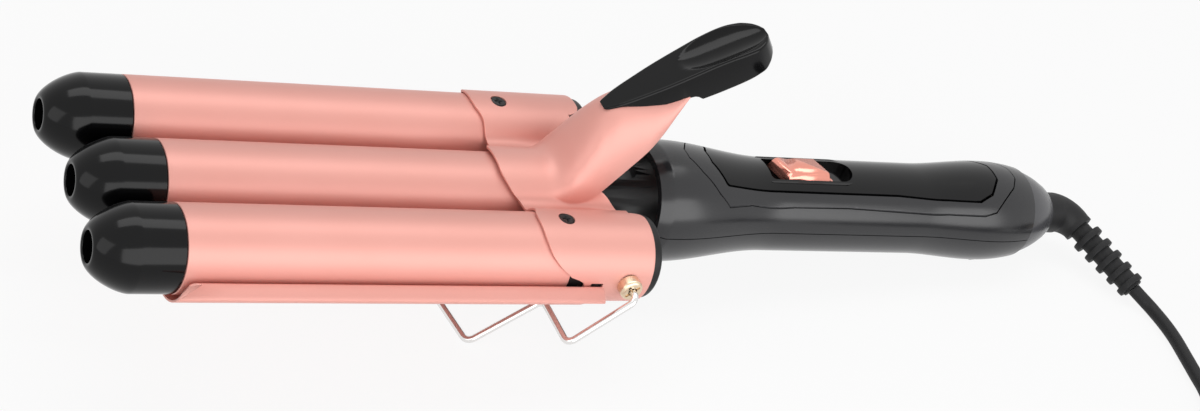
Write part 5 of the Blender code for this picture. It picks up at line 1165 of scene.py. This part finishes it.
COPIED = {"handle": ("front_housing", "hinge_tube", "near_hinge_spacer", "far_hinge_spacer", "spring_seat",
                     "front_plate_screw", "rear_plate_screw", "front_shell_screw", "rear_shell_screw"),
          "jaw": ("near_carrier_screw", "far_carrier_screw"),
          "switch": ("power_slider",)}
ON_CORD = ("plug_body", "cord_tie", "inner_plug_pin", "outer_plug_pin")
NODE_SLOTS = {entry["node"]: entry["material_slot"] for entry in frame["record"]["subparts"]}


def copy_node(name, body):
    """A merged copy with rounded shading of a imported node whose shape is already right."""
    shape = bmesh.new()
    shape.from_mesh(NODES[name].data)
    bmesh.ops.remove_doubles(shape, verts=shape.verts, dist=MERGE)
    bmesh.ops.recalc_face_normals(shape, faces=shape.faces)
    piece = soften(from_shape(name + "_skin", shape), 38)
    return put(piece, SLOTS[NODE_SLOTS[name]], body, NODE_SLOTS[name], name)


def make_spring():
    """The lever's spring: a merged copy of its node, given a mesh of its own."""
    piece = copy_node("lever_spring", "handle")
    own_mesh(piece)


def copy_nodes():
    for body, names in COPIED.items():
        for name in names:
            copy_node(name, body)


def relief_way():
    return Vector((math.cos(RELIEF_BEND), -math.sin(RELIEF_BEND) * math.sin(RELIEF_TURN),
                   -math.sin(RELIEF_BEND) * math.cos(RELIEF_TURN)))


def relief_elbow():
    """Corner of the strain relief's bend, the way it leads on, and where the bend ends."""
    reach = RELIEF_BEND_RADIUS * math.tan(RELIEF_BEND / 2)
    corner = Vector((HANDLE_END + RELIEF_STRAIGHT + reach, 0, HANDLE_Z))
    way = relief_way()
    return corner, way, corner + way * reach


def relief_end():
    """Where the cord leaves the strain relief, and its way there, on the table."""
    way, bend_end = relief_elbow()[1:]
    end = bend_end + way * (RELIEF_NECK + RELIEF_RIBS * RELIEF_PITCH)
    return IRON @ end, (IRON.to_3x3() @ way).normalized()


RIB_SIZES = {"Ribs": ("Int", RELIEF_RIBS), "Pitch": ("Float", RELIEF_PITCH),
             "Thickness": ("Float", RIB_THICKNESS), "First Radius": ("Float", RIB_RADIUS),
             "Last Radius": ("Float", RIB_LAST_RADIUS)}


def rib_tree(material):
    """Nodes that set a row of discs along Z, each a little smaller than the one before."""
    tree = bpy.data.node_groups.new("relief_ribs", "GeometryNodeTree")
    names = {}
    for name, (kind, value) in RIB_SIZES.items():
        socket = tree.interface.new_socket(name, in_out="INPUT", socket_type="NodeSocket" + kind)
        socket.default_value = value
        names[name] = socket.identifier
    tree.interface.new_socket("Geometry", in_out="OUTPUT", socket_type="NodeSocketGeometry")
    size = tree.nodes.new("NodeGroupInput").outputs
    step = tree.nodes.new("ShaderNodeCombineXYZ")
    line = tree.nodes.new("GeometryNodeMeshLine")
    disc = tree.nodes.new("GeometryNodeMeshCylinder")
    disc.inputs["Vertices"].default_value = SCREW_STEPS
    disc.inputs["Radius"].default_value = 1
    number = tree.nodes.new("GeometryNodeInputIndex")
    share = tree.nodes.new("ShaderNodeMapRange")
    last = tree.nodes.new("ShaderNodeMath")
    last.operation = "SUBTRACT"
    last.inputs[1].default_value = 1
    scale = tree.nodes.new("ShaderNodeCombineXYZ")
    scale.inputs["Z"].default_value = 1
    spread = tree.nodes.new("GeometryNodeInstanceOnPoints")
    real = tree.nodes.new("GeometryNodeRealizeInstances")
    paint = tree.nodes.new("GeometryNodeSetMaterial")
    paint.inputs["Material"].default_value = material
    end = tree.nodes.new("NodeGroupOutput")
    links = ((size["Pitch"], step.inputs["Z"]), (size["Ribs"], line.inputs["Count"]),
             (step.outputs[0], line.inputs["Offset"]), (size["Thickness"], disc.inputs["Depth"]),
             (size["Ribs"], last.inputs[0]), (number.outputs[0], share.inputs["Value"]),
             (last.outputs[0], share.inputs["From Max"]), (size["First Radius"], share.inputs["To Min"]),
             (size["Last Radius"], share.inputs["To Max"]), (share.outputs[0], scale.inputs["X"]),
             (share.outputs[0], scale.inputs["Y"]), (line.outputs[0], spread.inputs["Points"]),
             (disc.outputs[0], spread.inputs["Instance"]), (scale.outputs[0], spread.inputs["Scale"]),
             (spread.outputs[0], real.inputs[0]), (real.outputs[0], paint.inputs[0]),
             (paint.outputs[0], end.inputs[0]))
    for source, target in links:
        tree.links.new(source, target)
    return tree, names


def make_ribs(foot, way):
    """The strain relief's ribs, from the first one's middle along the way of the cord."""
    tree, names = rib_tree(RUBBER)
    piece = new_object("ribs", bpy.data.meshes.new("ribs"))
    step = piece.modifiers.new("ribs", "NODES")
    step.node_group = tree
    for name, (kind, value) in RIB_SIZES.items():
        step[names[name]] = value
    bevel(bake(piece), RIB_ROUND, 50, 3)
    piece.data.transform(Matrix.Translation(foot) @ way.to_track_quat("Z", "Y").to_matrix().to_4x4())
    return piece


def sweep(name, path, radii):
    """A closed round body through a path, with its own radius at each point."""
    shape = bmesh.new()
    side = Vector((0, 1, 0))
    rings = []
    for index, (place, radius) in enumerate(zip(path, radii)):
        ahead = path[min(index + 1, len(path) - 1)] - path[max(index - 1, 0)]
        side = (side - ahead * side.dot(ahead) / ahead.length_squared).normalized()
        up = ahead.normalized().cross(side)
        turns = [2 * math.pi * step / SCREW_STEPS for step in range(SCREW_STEPS)]
        rings.append([shape.verts.new(place + (side * math.cos(turn) + up * math.sin(turn)) * radius)
                      for turn in turns])
    for ring, following in zip(rings, rings[1:]):
        add_strip(shape, ring + ring[:1], following + following[:1])
    shape.faces.new(rings[0])
    shape.faces.new(rings[-1])
    bmesh.ops.recalc_face_normals(shape, faces=shape.faces)
    return from_shape(name, shape)


def relief_body():
    """Path and radii of the strain relief from its flange, round its elbow and to the cord."""
    flange = HANDLE_END - END_WALL - GAP - SWIVEL_FLANGE
    ends = [(flange, SWIVEL_FLANGE_RADIUS), (flange + SWIVEL_FLANGE - EDGE_ROUND, SWIVEL_FLANGE_RADIUS),
            (flange + SWIVEL_FLANGE, RELIEF_RADIUS)]
    path = [Vector((x, 0, HANDLE_Z)) for x, radius in ends]
    radii = [radius for x, radius in ends]
    corner, way, bend_end = relief_elbow()
    bend = rounded([path[-1], corner, bend_end + way], [RELIEF_BEND_RADIUS], 24)[1:-1]
    for index, place in enumerate(bend):
        path.append(place)
        radii.append(RELIEF_RADIUS + (RELIEF_ELBOW_RADIUS - RELIEF_RADIUS) * index / (len(bend) - 1))
    shoulder = bend_end + way * RELIEF_NECK * SHOULDER_SHARE
    end = bend_end + way * (RELIEF_NECK + RELIEF_RIBS * RELIEF_PITCH)
    path += [shoulder, shoulder + way * EDGE_ROUND, end - way * EDGE_ROUND, end]
    radii += [RELIEF_ELBOW_RADIUS, RELIEF_CORE, RELIEF_CORE, RELIEF_CORE - EDGE_ROUND]
    return path, radii, bend_end + way * (RELIEF_NECK + RELIEF_PITCH * FIRST_RIB_SHARE)


def make_relief():
    path, radii, first = relief_body()
    shape = bmesh.new()
    for part in (sweep("relief_body", path, radii), make_ribs(first, relief_way())):
        shape.from_mesh(part.data)
        bpy.data.objects.remove(part)
    piece = lay(soften(from_shape("relief_skin", shape), 40))
    put(piece, RUBBER, "swivel", "black_rubber", "strain_relief")


def coil_line():
    """The coil's centre line: in by a steady spiral, up a layer, and out again."""
    pitch = 2 * CORD_RADIUS + COIL_SPACE
    half_turns = COIL_TURNS / 2
    outer = COIL_MIDDLE_RADIUS + pitch * half_turns / 2
    floor = TIE_THICKNESS + GAP + CORD_RADIUS
    points = []
    for index in range(round(COIL_TURNS * COIL_LOOP_POINTS) + 1):
        turns = index / COIL_LOOP_POINTS
        radius = outer - pitch * min(turns, COIL_TURNS - turns)
        climb = smoothstep(turns, half_turns - 0.25, half_turns + 0.25)
        angle = math.pi + 2 * math.pi * turns
        points.append(Vector((COIL_CENTRE[0] + radius * math.cos(angle),
                              COIL_CENTRE[1] + radius * math.sin(angle), floor + pitch * climb)))
    return points


def line_length(points):
    return sum((after - before).length for before, after in zip(points, points[1:]))


def round_curve(name, points, radius, resolution):
    curve = bpy.data.curves.new(name, "CURVE")
    curve.dimensions = "3D"
    curve.bevel_depth = radius
    curve.bevel_resolution = resolution
    curve.use_fill_caps = True
    line = curve.splines.new("POLY")
    line.points.add(len(points) - 1)
    line.use_smooth = True
    for index, point in enumerate(points):
        line.points[index].co = (*point, 1)
    piece = bpy.data.objects.new(name, curve)
    bpy.context.scene.collection.objects.link(piece)
    return piece


def make_cord():
    """The mains cord: along the table out of view, and the rest of it in a tied coil."""
    end, way = relief_end()
    start = end + way * GAP
    coil = coil_line()
    lead_in = Vector((0, 2 * CORD_RADIUS, 0))
    route = [start, start + way * 2 * CORD_RADIUS, start + way * 4 * CORD_RADIUS]
    route += [Vector(point) for point in CORD_ROUTE] + [coil[0] + lead_in]
    tail = [coil[-1] + lead_in, coil[-1] + Vector((0, TAIL_LENGTH, 0))]
    points = flow(route, 8) + coil + tail
    cord = round_curve("mains_cord", points, CORD_RADIUS, 5)
    put(cord, RUBBER, "swivel", "black_rubber", "cord_lead", "cord_coil")
    held = [copy_node(name, "swivel") for name in ON_CORD]
    round(line_length(points), 3)


def seen_directly(tree):
    """One for what the camera sees itself, in a reflection or through something clear."""
    path = tree.nodes.new("ShaderNodeLightPath")
    total = path.outputs["Is Camera Ray"]
    for kind in ("Is Glossy Ray", "Is Transmission Ray"):
        both = tree.nodes.new("ShaderNodeMath")
        both.operation = "MAXIMUM"
        tree.links.new(total, both.inputs[0])
        tree.links.new(path.outputs[kind], both.inputs[1])
        total = both.outputs[0]
    return total


def emission_floor():
    """White to the camera and in reflections, and still shaded where the tool stands."""
    material = bpy.data.materials.new("studio_floor")
    material.use_nodes = True
    tree = material.node_tree
    tree.nodes.clear()
    paint = tree.nodes.new("ShaderNodeBsdfDiffuse")
    paint.inputs["Color"].default_value = (*FLOOR_PAINT, 1)
    glow = tree.nodes.new("ShaderNodeEmission")
    glow.inputs["Strength"].default_value = 1.0
    share = tree.nodes.new("ShaderNodeMath")
    share.operation = "MULTIPLY"
    share.inputs[1].default_value = FLOOR_GLOW
    mix = tree.nodes.new("ShaderNodeMixShader")
    out = tree.nodes.new("ShaderNodeOutputMaterial")
    tree.links.new(seen_directly(tree), share.inputs[0])
    tree.links.new(share.outputs[0], mix.inputs["Fac"])
    tree.links.new(paint.outputs[0], mix.inputs[1])
    tree.links.new(glow.outputs[0], mix.inputs[2])
    tree.links.new(mix.outputs[0], out.inputs["Surface"])
    return material


def make_stage():
    shape = bmesh.new()
    bmesh.ops.create_grid(shape, x_segments=1, y_segments=1, size=FLOOR_SIZE)
    floor = from_shape("floor", shape)
    floor.location = (0, 0, -FLOOR_DROP)
    floor.data.materials.append(emission_floor())


def make_world():
    world = bpy.data.worlds.new("studio")
    world.use_nodes = True
    tree = world.node_tree
    tree.nodes.clear()
    seen = tree.nodes.new("ShaderNodeBackground")
    seen.inputs["Color"].default_value = (1, 1, 1, 1)
    lit = tree.nodes.new("ShaderNodeBackground")
    lit.inputs["Color"].default_value = (*WORLD_LIGHT, 1)
    mix = tree.nodes.new("ShaderNodeMixShader")
    out = tree.nodes.new("ShaderNodeOutputWorld")
    tree.links.new(seen_directly(tree), mix.inputs["Fac"])
    tree.links.new(lit.outputs[0], mix.inputs[1])
    tree.links.new(seen.outputs[0], mix.inputs[2])
    tree.links.new(mix.outputs[0], out.inputs["Surface"])
    bpy.context.scene.world = world


def soft_box(name, place, aim, size, power):
    """A rectangular lamp at a place that looks at a point."""
    lamp = bpy.data.lights.new(name, "AREA")
    lamp.shape = "RECTANGLE"
    lamp.size = size[0]
    lamp.size_y = size[1]
    lamp.energy = power
    holder = bpy.data.objects.new(name, lamp)
    bpy.context.scene.collection.objects.link(holder)
    holder.location = place
    way = Vector(aim) - Vector(place)
    holder.rotation_euler = way.to_track_quat("-Z", "Y").to_euler()
    return holder


def make_camera():
    right = Vector(CAMERA_RIGHT).normalized()
    ahead = Vector(CAMERA_AHEAD).normalized()
    down = ahead.cross(right).normalized()
    right = down.cross(ahead).normalized()
    turn = Matrix.Identity(4)
    for axis in range(3):
        turn[axis] = (right[axis], -down[axis], -ahead[axis], CAMERA_PLACE[axis])
    data = bpy.data.cameras.new("photo_camera")
    data.sensor_width = CAMERA_SENSOR
    data.lens = CAMERA_LENS
    data.clip_start = 0.02
    camera = bpy.data.objects.new("photo_camera", data)
    bpy.context.scene.collection.objects.link(camera)
    camera.matrix_world = IRON @ turn
    bpy.context.scene.camera = camera


def make_lights():
    soft_box("near_box", (0.05, -0.82, 0.28), (0.02, 0, 0.04), (1.5, 0.66), 7)
    soft_box("top_box", (0.05, 0.20, 0.95), (0, 0, 0.03), (1.3, 0.40), 4)
    soft_box("left_box", (-0.9, -0.25, 0.35), (-0.05, 0, 0.03), (0.5, 0.5), 1)


dress_nodes()
make_camera()
make_cord()
make_barrels()
make_carriers()
make_bridge()
make_pad()
make_lower_plate()
make_handle()
make_end_cap()
make_stand()
make_hinge_screws()
make_relief()
make_spring()
copy_nodes()
make_stage()
make_world()
make_lights()
bpy.context.scene.view_settings.view_transform = "Standard"
